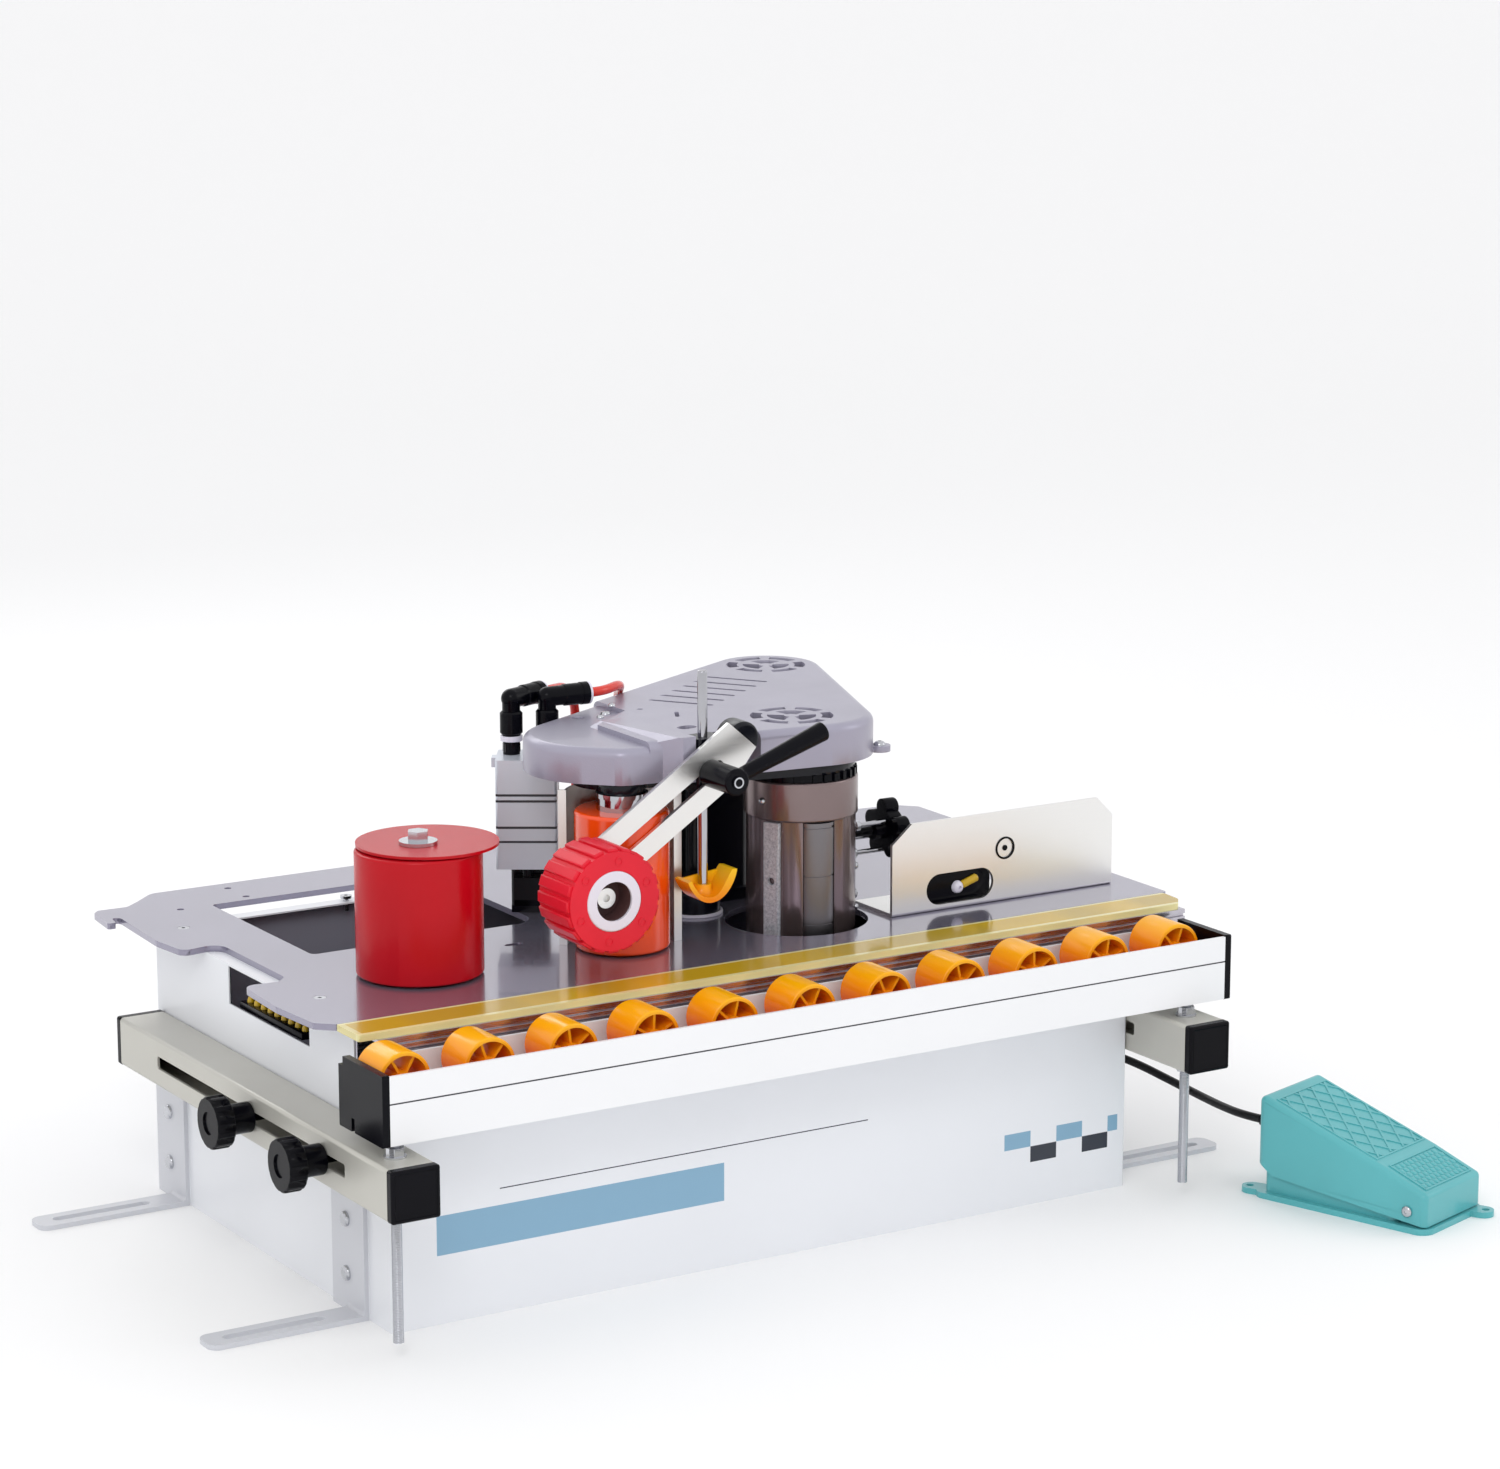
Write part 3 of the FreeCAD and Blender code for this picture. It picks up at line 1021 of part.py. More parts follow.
def cable_route():
    """Out of the cabinet, down and forward through the air, and level into the pedal."""
    start = CABLE_EXIT + X_AXIS * GLAND_REACH
    end = pedal_point(PEDAL_GLAND_X, PEDAL_L - 4 + PEDAL_GLAND_REACH, PEDAL_GLAND_Z)
    ahead = pedal_point(PEDAL_GLAND_X, PEDAL_L + 14 + PEDAL_GLAND_REACH, PEDAL_GLAND_Z)
    return [start, start + X_AXIS * 17, V(741, 112, 79), V(759, 90, 71), V(771, 60, 62),
            V(776, 25, 56.5), V(772, -12, 56.5), ahead, end]


def cable_glands():
    back = V(-math.sin(math.radians(PEDAL_TURN)), math.cos(math.radians(PEDAL_TURN)), 0)
    at_pedal = pedal_point(PEDAL_GLAND_X, PEDAL_L - 4, PEDAL_GLAND_Z)
    return [gland(CABLE_EXIT, X_AXIS, GLAND_REACH), gland(at_pedal, back, PEDAL_GLAND_REACH)]


def main():
    os.makedirs("parts", exist_ok=True)
    save("cabinet_shell", *cabinet_shell())
    brackets = [floor_bracket(y) for y in BRACKET_FRONT_Y]
    save("floor_brackets", *(brackets + [mirror_x(b) for b in brackets]))
    save("panel_screws", *(panel_screws() + fence_screws()))
    save("table_plate", table_plate())
    save("guide_strip", guide_strip())
    save("front_extrusion", front_extrusion())
    save("extension_tubes", extension_tube(0), extension_tube(1))
    save("tube_plugs", *[tube_plug(side, end) for side in (0, 1) for end in (0, 1)])
    save("level_nuts", *level_nuts())
    save("conveyor_rail", conveyor_rail())
    save("rail_caps", rail_cap(0), rail_cap(1))
    save("rail_fasteners", *rail_fasteners())
    for i in range(ROLLER_COUNT):
        save("conveyor_roller_%02d" % (i + 1), conveyor_roller(i))
    for side, side_name in enumerate(("left", "right")):
        for place, y in zip(("front", "rear"), KNOB_Y):
            save("clamp_knob_%s_%s" % (side_name, place), clamp_knob(side, y))
    save("head_cover", head_cover())
    save("head_column", head_column())
    save("drive_motor", drive_motor())
    save("motor_pulley", motor_pulley())
    save("drive_belts", *drive_belts())
    save("glue_pot", glue_pot())
    save("pot_insulator", pot_insulator())
    save("glue_roller", glue_roller())
    save("pot_scraper", pot_scraper())
    save("glue_knob", glue_knob())
    save("feed_roller", feed_roller())
    save("feed_shaft", feed_shaft())
    save("feed_guard", feed_guard())
    save("press_roller", press_roller())
    save("press_roller_post", press_roller_post())
    save("press_roller_guard", press_roller_guard())
    save("cutter_cylinder", cutter_cylinder())
    save("cutter_base", cutter_base())
    save("cutter_blade", cutter_blade())
    save("air_fittings", *air_fittings())
    save("air_hoses", *air_hoses())
    save("hold_down_bracket", hold_down_bracket())
    save("height_rod", height_rod())
    save("tape_tongue", tape_tongue())
    save("hold_down_arm", *hold_down_arm())
    save("hold_down_wheel", hold_down_wheel())
    save("wheel_hub", wheel_hub())
    save("clamp_lever", clamp_lever())
    save("fence_plate", fence_plate())
    save("pedal_base", pedal_base(), pedal_pin())
    save("pedal_tread", pedal_tread())
    save("cable_glands", *cable_glands())
    save("pedal_cable", bent_tube(cable_route(), CABLE_D, "pedal cable"))


main()
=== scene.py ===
import json
import math

import bmesh
import bpy
from mathutils import Matrix, Vector


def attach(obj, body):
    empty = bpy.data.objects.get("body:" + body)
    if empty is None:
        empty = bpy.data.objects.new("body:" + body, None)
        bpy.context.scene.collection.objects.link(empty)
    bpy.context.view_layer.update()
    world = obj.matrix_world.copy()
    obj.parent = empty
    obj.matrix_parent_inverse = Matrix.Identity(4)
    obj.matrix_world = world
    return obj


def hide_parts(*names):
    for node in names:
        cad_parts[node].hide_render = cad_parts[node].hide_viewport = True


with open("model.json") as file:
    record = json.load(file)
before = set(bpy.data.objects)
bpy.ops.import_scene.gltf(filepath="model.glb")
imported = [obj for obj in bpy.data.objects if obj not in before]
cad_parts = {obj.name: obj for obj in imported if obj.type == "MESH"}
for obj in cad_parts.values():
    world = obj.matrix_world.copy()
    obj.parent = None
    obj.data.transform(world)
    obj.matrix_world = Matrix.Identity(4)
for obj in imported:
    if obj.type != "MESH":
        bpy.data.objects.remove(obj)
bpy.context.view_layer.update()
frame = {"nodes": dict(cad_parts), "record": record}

MM = 0.001
CABINET_W = 0.680
CABINET_D = 0.417
# Places on the machine, in millimetres from the cabinet's front left bottom corner.
PEDAL_CORNER = (805, -233, 0)
PEDAL_TURN = math.radians(18.0)
PEDAL_TOE_H, PEDAL_KNEE_Y, PEDAL_KNEE_H = 33.0, 42.0, 49.0
POT_X, POT_Y, POT_R = 456.0, 149.0, 45.2
WHEEL_X, WHEEL_Z = 220.7, 293.7
ELBOW_Z, COVER_FOOT_Z = 407, 369
# The camera's view and place in metres, and the lights' strengths.
VIEW_AZIMUTH, VIEW_ELEVATION, VIEW_ROLL = math.radians(-31.81), math.radians(11.75), math.radians(-0.03)
VIEW_PLACE, VIEW_LENS = (-1.6640, -2.8507, 1.0693), 99.684
WORLD_LIGHT, KEY, SIDE, BACK = 0.96, 13.0, 5.0, 7.0


def at(x, y, z):
    """A point in millimetres from the cabinet's front left bottom corner, in the frame's metres."""
    return Vector((x * MM - CABINET_W / 2, y * MM - CABINET_D / 2, z * MM))


# ---- camera, lights and floor ----
def add_camera():
    data = bpy.data.cameras.new("camera")
    data.sensor_width = 36.0
    data.lens = VIEW_LENS
    data.clip_end = 50.0
    camera = bpy.data.objects.new("camera", data)
    bpy.context.collection.objects.link(camera)
    away = Vector((math.sin(VIEW_AZIMUTH) * math.cos(VIEW_ELEVATION),
                   -math.cos(VIEW_AZIMUTH) * math.cos(VIEW_ELEVATION), math.sin(VIEW_ELEVATION)))
    turn = away.to_track_quat("Z", "Y").to_matrix().to_4x4() @ Matrix.Rotation(VIEW_ROLL, 4, "Z")
    camera.matrix_world = Matrix.Translation(VIEW_PLACE) @ turn
    bpy.context.scene.camera = camera


def add_light(name, place, target, size, power):
    data = bpy.data.lights.new(name, "AREA")
    data.shape = "RECTANGLE"
    data.size, data.size_y = size
    data.energy = power
    light = bpy.data.objects.new(name, data)
    light.matrix_world = Matrix.Translation(place) @ (
        Vector(place) - Vector(target)).to_track_quat("Z", "Y").to_matrix().to_4x4()
    bpy.context.collection.objects.link(light)


def add_stage():
    """Pale floor that curves up into a wall behind, under soft studio light."""
    world = bpy.data.worlds.new("studio")
    world.use_nodes = True
    background = world.node_tree.nodes["Background"]
    background.inputs["Color"].default_value = (0.99, 0.99, 1.0, 1.0)
    background.inputs["Strength"].default_value = WORLD_LIGHT
    bpy.context.scene.world = world
    bpy.context.scene.view_settings.view_transform = "Standard"
    profile = [(-9.0, 0.0), (5.0, 0.0)]
    for step in range(1, 13):
        turn = math.radians(90.0 * step / 12)
        profile.append((5.0 + 3.0 * math.sin(turn), 3.0 - 3.0 * math.cos(turn)))
    profile.append((8.0, 9.0))
    ahead = Vector((-math.sin(VIEW_AZIMUTH), math.cos(VIEW_AZIMUTH), 0))
    aside = Vector((math.cos(VIEW_AZIMUTH), math.sin(VIEW_AZIMUTH), 0))
    points, faces = [], []
    for reach, height in profile:
        for side in (-10.0, 10.0):
            points.append(tuple(ahead * reach + aside * side + Vector((0, 0, height))))
    for i in range(len(profile) - 1):
        faces.append((2 * i, 2 * i + 1, 2 * i + 3, 2 * i + 2))
    mesh = bpy.data.meshes.new("floor")
    mesh.from_pydata(points, [], faces)
    mesh.shade_smooth()
    floor = bpy.data.objects.new("floor", mesh)
    bpy.context.collection.objects.link(floor)
    material = bpy.data.materials.new("floor")
    material.use_nodes = True
    shader = material.node_tree.nodes["Principled BSDF"]
    shader.inputs["Base Color"].default_value = (0.97, 0.97, 0.97, 1)
    shader.inputs["Roughness"].default_value = 0.7
    mesh.materials.append(material)
    add_light("key", (-1.5, -2.0, 2.2), (0, 0, 0.2), (1.0, 0.8), KEY)
    add_light("side", (2.4, -1.2, 1.5), (0, 0, 0.2), (0.8, 1.4), SIDE)
    add_light("back", (0.2, 2.4, 1.7), (0, 0, 0.3), (1.8, 0.6), BACK)


# ---- materials ----
class Paint:
    """A procedural material built on one Principled shader, in object coordinates."""

    def __init__(self, name, roughness=0.4, metallic=0.0, **sockets):
        self.material = bpy.data.materials.new(name)
        self.material.use_nodes = True
        self.tree = self.material.node_tree
        self.shader = self.tree.nodes["Principled BSDF"]
        self.set("Roughness", roughness)
        self.set("Metallic", metallic)
        for key, value in sockets.items():
            self.set(key.replace("_", " "), value)
        self.place = self.node("ShaderNodeTexCoord").outputs["Object"]
        self.normal = None

    def node(self, kind, **settings):
        made = self.tree.nodes.new(kind)
        for key, value in settings.items():
            setattr(made, key, value)
        return made

    def link(self, source, target):
        self.tree.links.new(source, target)

    def set(self, socket, value):
        self.shader.inputs[socket].default_value = value

    def stretched(self, scale):
        mapping = self.node("ShaderNodeMapping")
        mapping.inputs["Scale"].default_value = scale
        self.link(self.place, mapping.inputs["Vector"])
        return mapping.outputs["Vector"]

    def noise(self, scale, detail=3.0, roughness=0.5, stretch=(1, 1, 1)):
        made = self.node("ShaderNodeTexNoise")
        made.inputs["Scale"].default_value = scale
        made.inputs["Detail"].default_value = detail
        made.inputs["Roughness"].default_value = roughness
        self.link(self.stretched(stretch), made.inputs["Vector"])
        return made.outputs["Fac"]

    def ramp(self, source, low, high, a, b):
        """Maps source from low..high to the two values or colours a and b."""
        made = self.node("ShaderNodeValToRGB")
        as_colour = (lambda v: (*v, 1.0)) if isinstance(a, (tuple, list)) else (lambda v: (v, v, v, 1.0))
        made.color_ramp.elements[0].position = low
        made.color_ramp.elements[0].color = as_colour(a)
        made.color_ramp.elements[1].position = high
        made.color_ramp.elements[1].color = as_colour(b)
        self.link(source, made.inputs["Fac"])
        return made.outputs["Color"]

    def mix(self, fac, a, b):
        """Colour a where fac is 0, b where it is 1; a and b are colours or sockets."""
        made = self.node("ShaderNodeMix", data_type="RGBA")
        self.link(fac, made.inputs["Factor"])
        for key, value in ((6, a), (7, b)):
            if isinstance(value, (tuple, list)):
                made.inputs[key].default_value = (*value, 1.0)
            else:
                self.link(value, made.inputs[key])
        return made.outputs[2]

    def colour(self, source):
        self.tone = source
        self.link(source, self.shader.inputs["Base Color"])

    def tint(self, mask, colour):
        """Lays a colour over what is there, where mask is 1."""
        self.colour(self.mix(mask, self.tone, colour))

    def maths(self, operation, *values):
        made = self.node("ShaderNodeMath", operation=operation)
        for socket, value in zip(made.inputs, values):
            if isinstance(value, (int, float)):
                socket.default_value = value
            else:
                self.link(value, socket)
        return made.outputs[0]

    def axis(self, index):
        split = self.node("ShaderNodeSeparateXYZ")
        self.link(self.place, split.inputs[0])
        return split.outputs[index]

    def within(self, **ranges):
        """1 inside the box given as x=, y=, z= pairs in millimetres from the cabinet's corner."""
        mask = None
        for key, (low, high) in ranges.items():
            index = "xyz".index(key)
            middle = at(*[(low + high) / 2] * 3)[index]
            inside = self.maths("COMPARE", self.axis(index), middle, (high - low) / 2 * MM)
            mask = inside if mask is None else self.maths("MULTIPLY", mask, inside)
        return mask

    def about(self, x, z, radius):
        """1 within a radius of the line along Y through x, z, in millimetres."""
        middle = at(x, 0, z)
        across = self.maths("SUBTRACT", self.axis(0), middle[0])
        up = self.maths("SUBTRACT", self.axis(2), middle[2])
        square = self.maths("ADD", self.maths("MULTIPLY", across, across),
                            self.maths("MULTIPLY", up, up))
        return self.maths("LESS_THAN", square, (radius * MM) ** 2)

    def either(self, *masks):
        joined = masks[0]
        for mask in masks[1:]:
            joined = self.maths("MAXIMUM", joined, mask)
        return joined

    def rough(self, source):
        self.link(source, self.shader.inputs["Roughness"])

    def bump(self, source, distance, strength=1.0):
        made = self.node("ShaderNodeBump")
        made.inputs["Distance"].default_value = distance
        made.inputs["Strength"].default_value = strength
        self.link(source, made.inputs["Height"])
        if self.normal:
            self.link(self.normal, made.inputs["Normal"])
        self.normal = made.outputs["Normal"]
        self.link(self.normal, self.shader.inputs["Normal"])


def shade(colour, factor):
    return tuple(min(1.0, c * factor) for c in colour)


def mottled(name, colour, roughness, grain=900.0, depth=0.00002, spread=0.06, metallic=0.0, **sockets):
    """Coated or moulded surface: soft cloudy tone, fine grain in the bump, uneven gloss."""
    paint = Paint(name, roughness, metallic, **sockets)
    cloud = paint.noise(9.0, 4.0)
    paint.colour(paint.ramp(cloud, 0.3, 0.7, shade(colour, 1 - spread), shade(colour, 1 + spread)))
    paint.rough(paint.ramp(paint.noise(40.0, 5.0), 0.2, 0.8, roughness * 0.92, roughness * 1.08))
    paint.bump(paint.noise(grain, 2.0), depth)
    return paint


def drawn_metal(name, colour, roughness, along="x", spread=0.1, **sockets):
    """Brushed or drawn metal with fine lines along one axis."""
    paint = Paint(name, roughness, 1.0, **sockets)
    stretch = {"x": (1, 60, 60), "y": (60, 1, 60), "z": (60, 60, 1)}[along]
    lines = paint.noise(18.0, 6.0, 0.7, stretch)
    cloud = paint.noise(7.0, 3.0)
    paint.colour(paint.mix(lines, paint.ramp(cloud, 0.3, 0.7, shade(colour, 1 - spread), colour),
                           shade(colour, 1 + spread)))
    paint.rough(paint.ramp(lines, 0.25, 0.8, roughness * 0.75, roughness * 1.3))
    paint.bump(lines, 0.00001)
    return paint


WHITE = (0.80, 0.815, 0.85)
LAVENDER = (0.36, 0.345, 0.43)
LABEL_BLUE = (0.22, 0.40, 0.55)
LABEL_DARK = (0.02, 0.025, 0.04)


def print_front(paint):
    """Printed marks on the cabinet's front: a bar, a thin line and a small chequer."""
    def on_front(x0, x1, z0, z1):
        return paint.within(x=(x0, x1), y=(-1, 1), z=(z0, z1))

    paint.tint(paint.either(on_front(39, 291, 54, 85), on_front(558, 584, 49.5, 63),
                            on_front(610, 636, 49.5, 63), on_front(662, 672, 49.5, 63)), LABEL_BLUE)
    paint.tint(paint.either(on_front(93, 425, 97.5, 98.4), on_front(584, 610, 36, 49.5),
                            on_front(636, 662, 36, 49.5)), LABEL_DARK)


def shade_cabinet(paint):
    """Painted shade inside the cabinet: near-black inner walls; a grey floor pan and upper back wall;
    bracket feet in a grey that is partly their own light grey and partly painted shade.
    """
    # Painted shade: the cabinet's white inner walls are painted near-black.
    inside = paint.within(x=(1.2, 678.8), y=(1.2, 415.8), z=(1.0, 222.6))
    paint.tint(inside, (0.022, 0.022, 0.030))
    paint.tint(paint.within(x=(1.2, 678.8), y=(405, 415.9), z=(100, 222.6)), (0.30, 0.30, 0.36))
    paint.tint(paint.within(x=(10, 670), y=(20, 410), z=(1.0, 3.0)), (0.34, 0.33, 0.42))
    # Bracket feet: their own light grey, darkened further with painted shade so they stand apart from
    # the white cabinet.
    feet = paint.either(paint.within(x=(-150, -0.5), z=(-1, 97)),
                        paint.within(x=(680.5, 830), z=(-1, 97)))
    paint.tint(feet, (0.60, 0.61, 0.65))


def rail_groove(paint):
    """Shadow line along the rail's front."""
    paint.tint(paint.within(y=(-57.7, -56.9), z=(196.4, 198.0)), (0.06, 0.06, 0.07))


def painted_top_light(paint, low, high, below, above):
    """Painted light and shade: colour that turns from a shaded tone below to a lit tone above between
    two heights.
    """
    place = paint.maths("DIVIDE", paint.maths("SUBTRACT", paint.axis(2), low * MM), (high - low) * MM)
    place = paint.maths("MINIMUM", paint.maths("MAXIMUM", place, 0.0), 1.0)
    paint.colour(paint.mix(place, below, above))


def dark_steel(paint):
    """Dark polished glue roller and blackened cutter slide among the plain steel pieces."""
    paint.tint(paint.within(x=(430, 470), y=(100, 141), z=(205, 318)), (0.20, 0.19, 0.20))
    paint.tint(paint.within(x=(240, 305), y=(245, 310), z=(236, 330)), (0.02, 0.02, 0.022))


def thread_rods(paint):
    """Rolled thread on the two level rods, 1.25 mm pitch."""
    here = paint.either(*[paint.within(x=(x - 6, x + 6), y=(-58, -46), z=(10, 170))
                          for x in (-20.5, 700.5)])
    wave = paint.maths("SINE", paint.maths("MULTIPLY", paint.axis(2), 2 * math.pi / 0.00125))
    paint.tint(here, (0.52, 0.53, 0.57))
    paint.bump(paint.maths("MULTIPLY", wave, here), 0.00018)


def edge_strip(paint):
    """Cream border along the guide strip."""
    border = paint.either(paint.within(y=(16, 21.5)), paint.within(y=(50.5, 55)),
                          paint.within(x=(-15, -9)))
    paint.tint(border, (0.80, 0.74, 0.36))
    band = paint.ramp(paint.noise(1.0, 1.0, 0.5, (9, 0.1, 0.1)), 0.45, 0.55, 0.0, 1.0)
    paint.tint(paint.maths("MULTIPLY", band, paint.within(y=(21.5, 50.5))), (0.50, 0.34, 0.03))


def hub_recess(paint):
    """Painted shade in the bore of the press wheel's bush."""
    paint.tint(paint.maths("MULTIPLY", paint.about(WHEEL_X, WHEEL_Z, 15.65), paint.within(y=(47.6, 80))),
               (0.10, 0.045, 0.045))


def cylinder_seams(paint):
    """Dark joints between the cylinder's end caps and its barrel."""
    paint.tint(paint.either(*[paint.within(z=(z - 1.0, z + 1.0)) for z in (293, 305, 327, 332)]),
               (0.05, 0.05, 0.06))


def scraper_zinc(paint):
    """Pale galvanised strip beside the pot."""
    speckle = paint.ramp(paint.noise(420.0, 5.0, 0.8), 0.42, 0.60, 0.0, 1.0)
    here = paint.within(x=(404, 425), y=(113, 141), z=(203, 318))
    paint.tint(here, (0.62, 0.63, 0.68))
    paint.tint(paint.maths("MULTIPLY", here, speckle), (0.36, 0.37, 0.42))
    paint.link(paint.ramp(here, 0.4, 0.6, 1.0, 0.15), paint.shader.inputs["Metallic"])


def make_materials():
    """One material per slot of the record."""
    made = {
        "white_paint": mottled("white_paint", WHITE, 0.34, 700, 0.000004, 0.01, Coat_Weight=0.15),
        "zinc": mottled("zinc", (0.55, 0.56, 0.59), 0.20, 300, 0.00002, 0.12, metallic=1.0),
        "table_grey": mottled("table_grey", (0.30, 0.285, 0.37), 0.17, 500, 0.00001, 0.05, metallic=0.6,
                              Coat_Weight=0.6, Coat_Roughness=0.05),
        "mustard": mottled("mustard", (0.62, 0.40, 0.012), 0.16, 300, 0.00001, 0.08, Coat_Weight=0.15,
                           Coat_Roughness=0.04),
        "alloy": drawn_metal("alloy", (0.50, 0.48, 0.53), 0.26, "x"),
        "rail_white": mottled("rail_white", (0.86, 0.865, 0.88), 0.34, 700, 0.000004, 0.01,
                              Coat_Weight=0.15),
        "tube_cream": mottled("tube_cream", (0.54, 0.53, 0.48), 0.36, 600, 0.000006, 0.03,
                              metallic=0.35),
        "black_plastic": mottled("black_plastic", (0.002, 0.002, 0.004), 0.22, 800, 0.00003, 0.25,
                                 Specular_IOR_Level=0.12),
        "roller_orange": mottled("roller_orange", (0.95, 0.30, 0.003), 0.20, 300, 0.00002, 0.08,
                                 Specular_IOR_Level=0.35),
        "cover_grey": mottled("cover_grey", LAVENDER, 0.32, 900, 0.00012, 0.06, metallic=0.3,
                              Coat_Weight=0.15),
        "black_paint": mottled("black_paint", (0.0035, 0.004, 0.008), 0.24, 900, 0.00004, 0.2,
                               Specular_IOR_Level=0.3),
        "motor_black": mottled("motor_black", (0.0035, 0.004, 0.007), 0.26, 900, 0.00004, 0.2,
                               Specular_IOR_Level=0.3),
        "belt_rubber": mottled("belt_rubber", (0.005, 0.005, 0.005), 0.5, 900, 0.00005, 0.2,
                               Specular_IOR_Level=0.25),
        "pot_bronze": mottled("pot_bronze", (0.22, 0.165, 0.165), 0.26, 500, 0.00003, 0.14,
                              metallic=0.75, Coat_Weight=0.2),
        "chrome": mottled("chrome", (0.46, 0.46, 0.49), 0.08, 120, 0.00001, 0.05, metallic=1.0),
        "steel": drawn_metal("steel", (0.84, 0.835, 0.82), 0.34, "x", 0.03),
        "feed_orange": mottled("feed_orange", (0.95, 0.075, 0.002), 0.20, 260, 0.00003, 0.06,
                               Coat_Weight=0.5, Coat_Roughness=0.08),
        "press_red": mottled("press_red", (0.50, 0.002, 0.009), 0.24, 200, 0.00003, 0.08,
                             Specular_IOR_Level=0.22),
        "wheel_red": mottled("wheel_red", (0.74, 0.012, 0.032), 0.38, 500, 0.00006, 0.10,
                             Specular_IOR_Level=0.3),
        "bush_white": mottled("bush_white", (0.76, 0.74, 0.84), 0.30, 500, 0.00002, 0.03),
        "cylinder_silver": mottled("cylinder_silver", (0.66, 0.70, 0.77), 0.30, 600, 0.00002, 0.06,
                                   metallic=0.3),
        "hose_red": mottled("hose_red", (0.72, 0.02, 0.006), 0.2, 200, 0.00002, 0.06, Coat_Weight=0.4),
        "tongue_yellow": mottled("tongue_yellow", (0.95, 0.46, 0.003), 0.20, 200, 0.00002, 0.1,
                                 Specular_IOR_Level=0.3),
        "pedal_teal": mottled("pedal_teal", (0.095, 0.44, 0.47), 0.30, 900, 0.00005, 0.06,
                              Coat_Weight=0.2),
        "cable_black": mottled("cable_black", (0.005, 0.005, 0.006), 0.40, 500, 0.00003, 0.2,
                               Specular_IOR_Level=0.3),
    }
    shade_cabinet(made["white_paint"])
    print_front(made["white_paint"])
    rail_groove(made["rail_white"])
    # Painted light: rollers and tongue lighter on top and darker underneath, as if lit from above.
    painted_top_light(made["roller_orange"], 200, 228, (1.0, 0.14, 0.001), (1.0, 0.46, 0.002))
    painted_top_light(made["tongue_yellow"], 264, 292, (0.93, 0.20, 0.002), (1.0, 0.62, 0.01))
    dark_steel(made["steel"])
    thread_rods(made["zinc"])
    edge_strip(made["mustard"])
    hub_recess(made["bush_white"])
    cylinder_seams(made["cylinder_silver"])
    scraper_zinc(made["zinc"])
    return {slot: paint.material for slot, paint in made.items()}


SOFT_EDGES = {"cabinet_shell": 0.6, "floor_brackets": 0.7, "table_plate": 0.5, "guide_strip": 0.5,
              "extension_tubes": 0.4, "tube_plugs": 0.6, "conveyor_rail": 0.5, "rail_caps": 0.7,
              "head_cover": 0.7, "fence_plate": 0.4, "cutter_cylinder": 0.6, "cutter_base": 0.6,
              "hold_down_arm": 0.4, "hold_down_bracket": 0.6, "glue_pot": 0.5, "pot_scraper": 0.4,
              "glue_knob": 0.6, "pedal_base": 1.0, "pedal_tread": 0.6, "head_column": 0.6,
              "front_extrusion": 0.3}


def dress(materials):
    """Every node of the frame takes its slot's material and is welded; those listed in SOFT_EDGES also
    get softened edges.
    """
    for part in frame["record"]["subparts"]:
        node = frame["nodes"][part["node"]]
        node.data.materials.clear()
        node.data.materials.append(materials[part["material_slot"]])
        weld = node.modifiers.new("weld", "WELD")
        weld.merge_threshold = 0.00002
        if part["node"] in SOFT_EDGES:
            soften(node, SOFT_EDGES[part["node"]])


def soften(piece, width):
    bevel = piece.modifiers.new("edges", "BEVEL")
    bevel.width = width * MM
    bevel.segments = 2
    bevel.limit_method = "ANGLE"
    bevel.angle_limit = math.radians(40)
    bevel.harden_normals = True


# ---- small pieces ----
def turned(name, profile, place, axis, material, slot, body, steps=36):
    """Lathe work: profile is (radius, distance along axis) in millimetres, from place."""
    bm = bmesh.new()
    turn = Vector(axis).to_track_quat("Z", "Y").to_matrix()
    rings = []
    for radius, along in profile:
        ring = []
        for k in range(steps):
            a = 2 * math.pi * k / steps
            local = Vector((radius * math.cos(a), radius * math.sin(a), along)) * MM
            ring.append(bm.verts.new(at(*place) + turn @ local))
        rings.append(ring)
    for low, high in zip(rings, rings[1:]):
        for k in range(steps):
            bm.faces.new((low[k], low[(k + 1) % steps], high[(k + 1) % steps], high[k]))
    bmesh.ops.remove_doubles(bm, verts=bm.verts, dist=0.000005)
    bmesh.ops.recalc_face_normals(bm, faces=bm.faces)
    return finished(name, bm, material, body)


def finished(name, bm, material, body):
    mesh = bpy.data.meshes.new(name)
    bm.to_mesh(mesh)
    bm.free()
    mesh.shade_smooth()
    mesh.set_sharp_from_angle(angle=math.radians(35))
    mesh.materials.append(material)
    piece = bpy.data.objects.new(name, mesh)
    bpy.context.collection.objects.link(piece)
    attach(piece, body)
    return piece


def plate(name, low, high, material, slot, body, edge=0.5):
    """Rectangular piece with softened edges, corners in millimetres."""
    bm = bmesh.new()
    bmesh.ops.create_cube(bm, size=1.0)
    a, b = at(*low), at(*high)
    for vertex in bm.verts:
        vertex.co = Vector([(a[i] + b[i]) / 2 + vertex.co[i] * (b[i] - a[i]) for i in range(3)])
    bmesh.ops.bevel(bm, geom=bm.edges, offset=edge * MM, segments=2, affect="EDGES", profile=0.5)
    return finished(name, bm, material, body)


def dome(radius, height):
    """Profile of a pan head with a round recess."""
    return [(0.0, height * 0.55), (radius * 0.28, height * 0.55), (radius * 0.30, height * 0.97),
            (radius * 0.62, height * 0.86), (radius * 0.88, height * 0.52), (radius, height * 0.1),
            (radius, 0.0), (0.0, 0.0)]


def hollow(r_in, r_out, length, soft=0.4):
    """Profile of a ring with rounded corners."""
    return [(r_in, 0.0), (r_out - soft, 0.0), (r_out, soft), (r_out, length - soft),
            (r_out - soft, length), (r_in, length), (r_in, 0.0)]


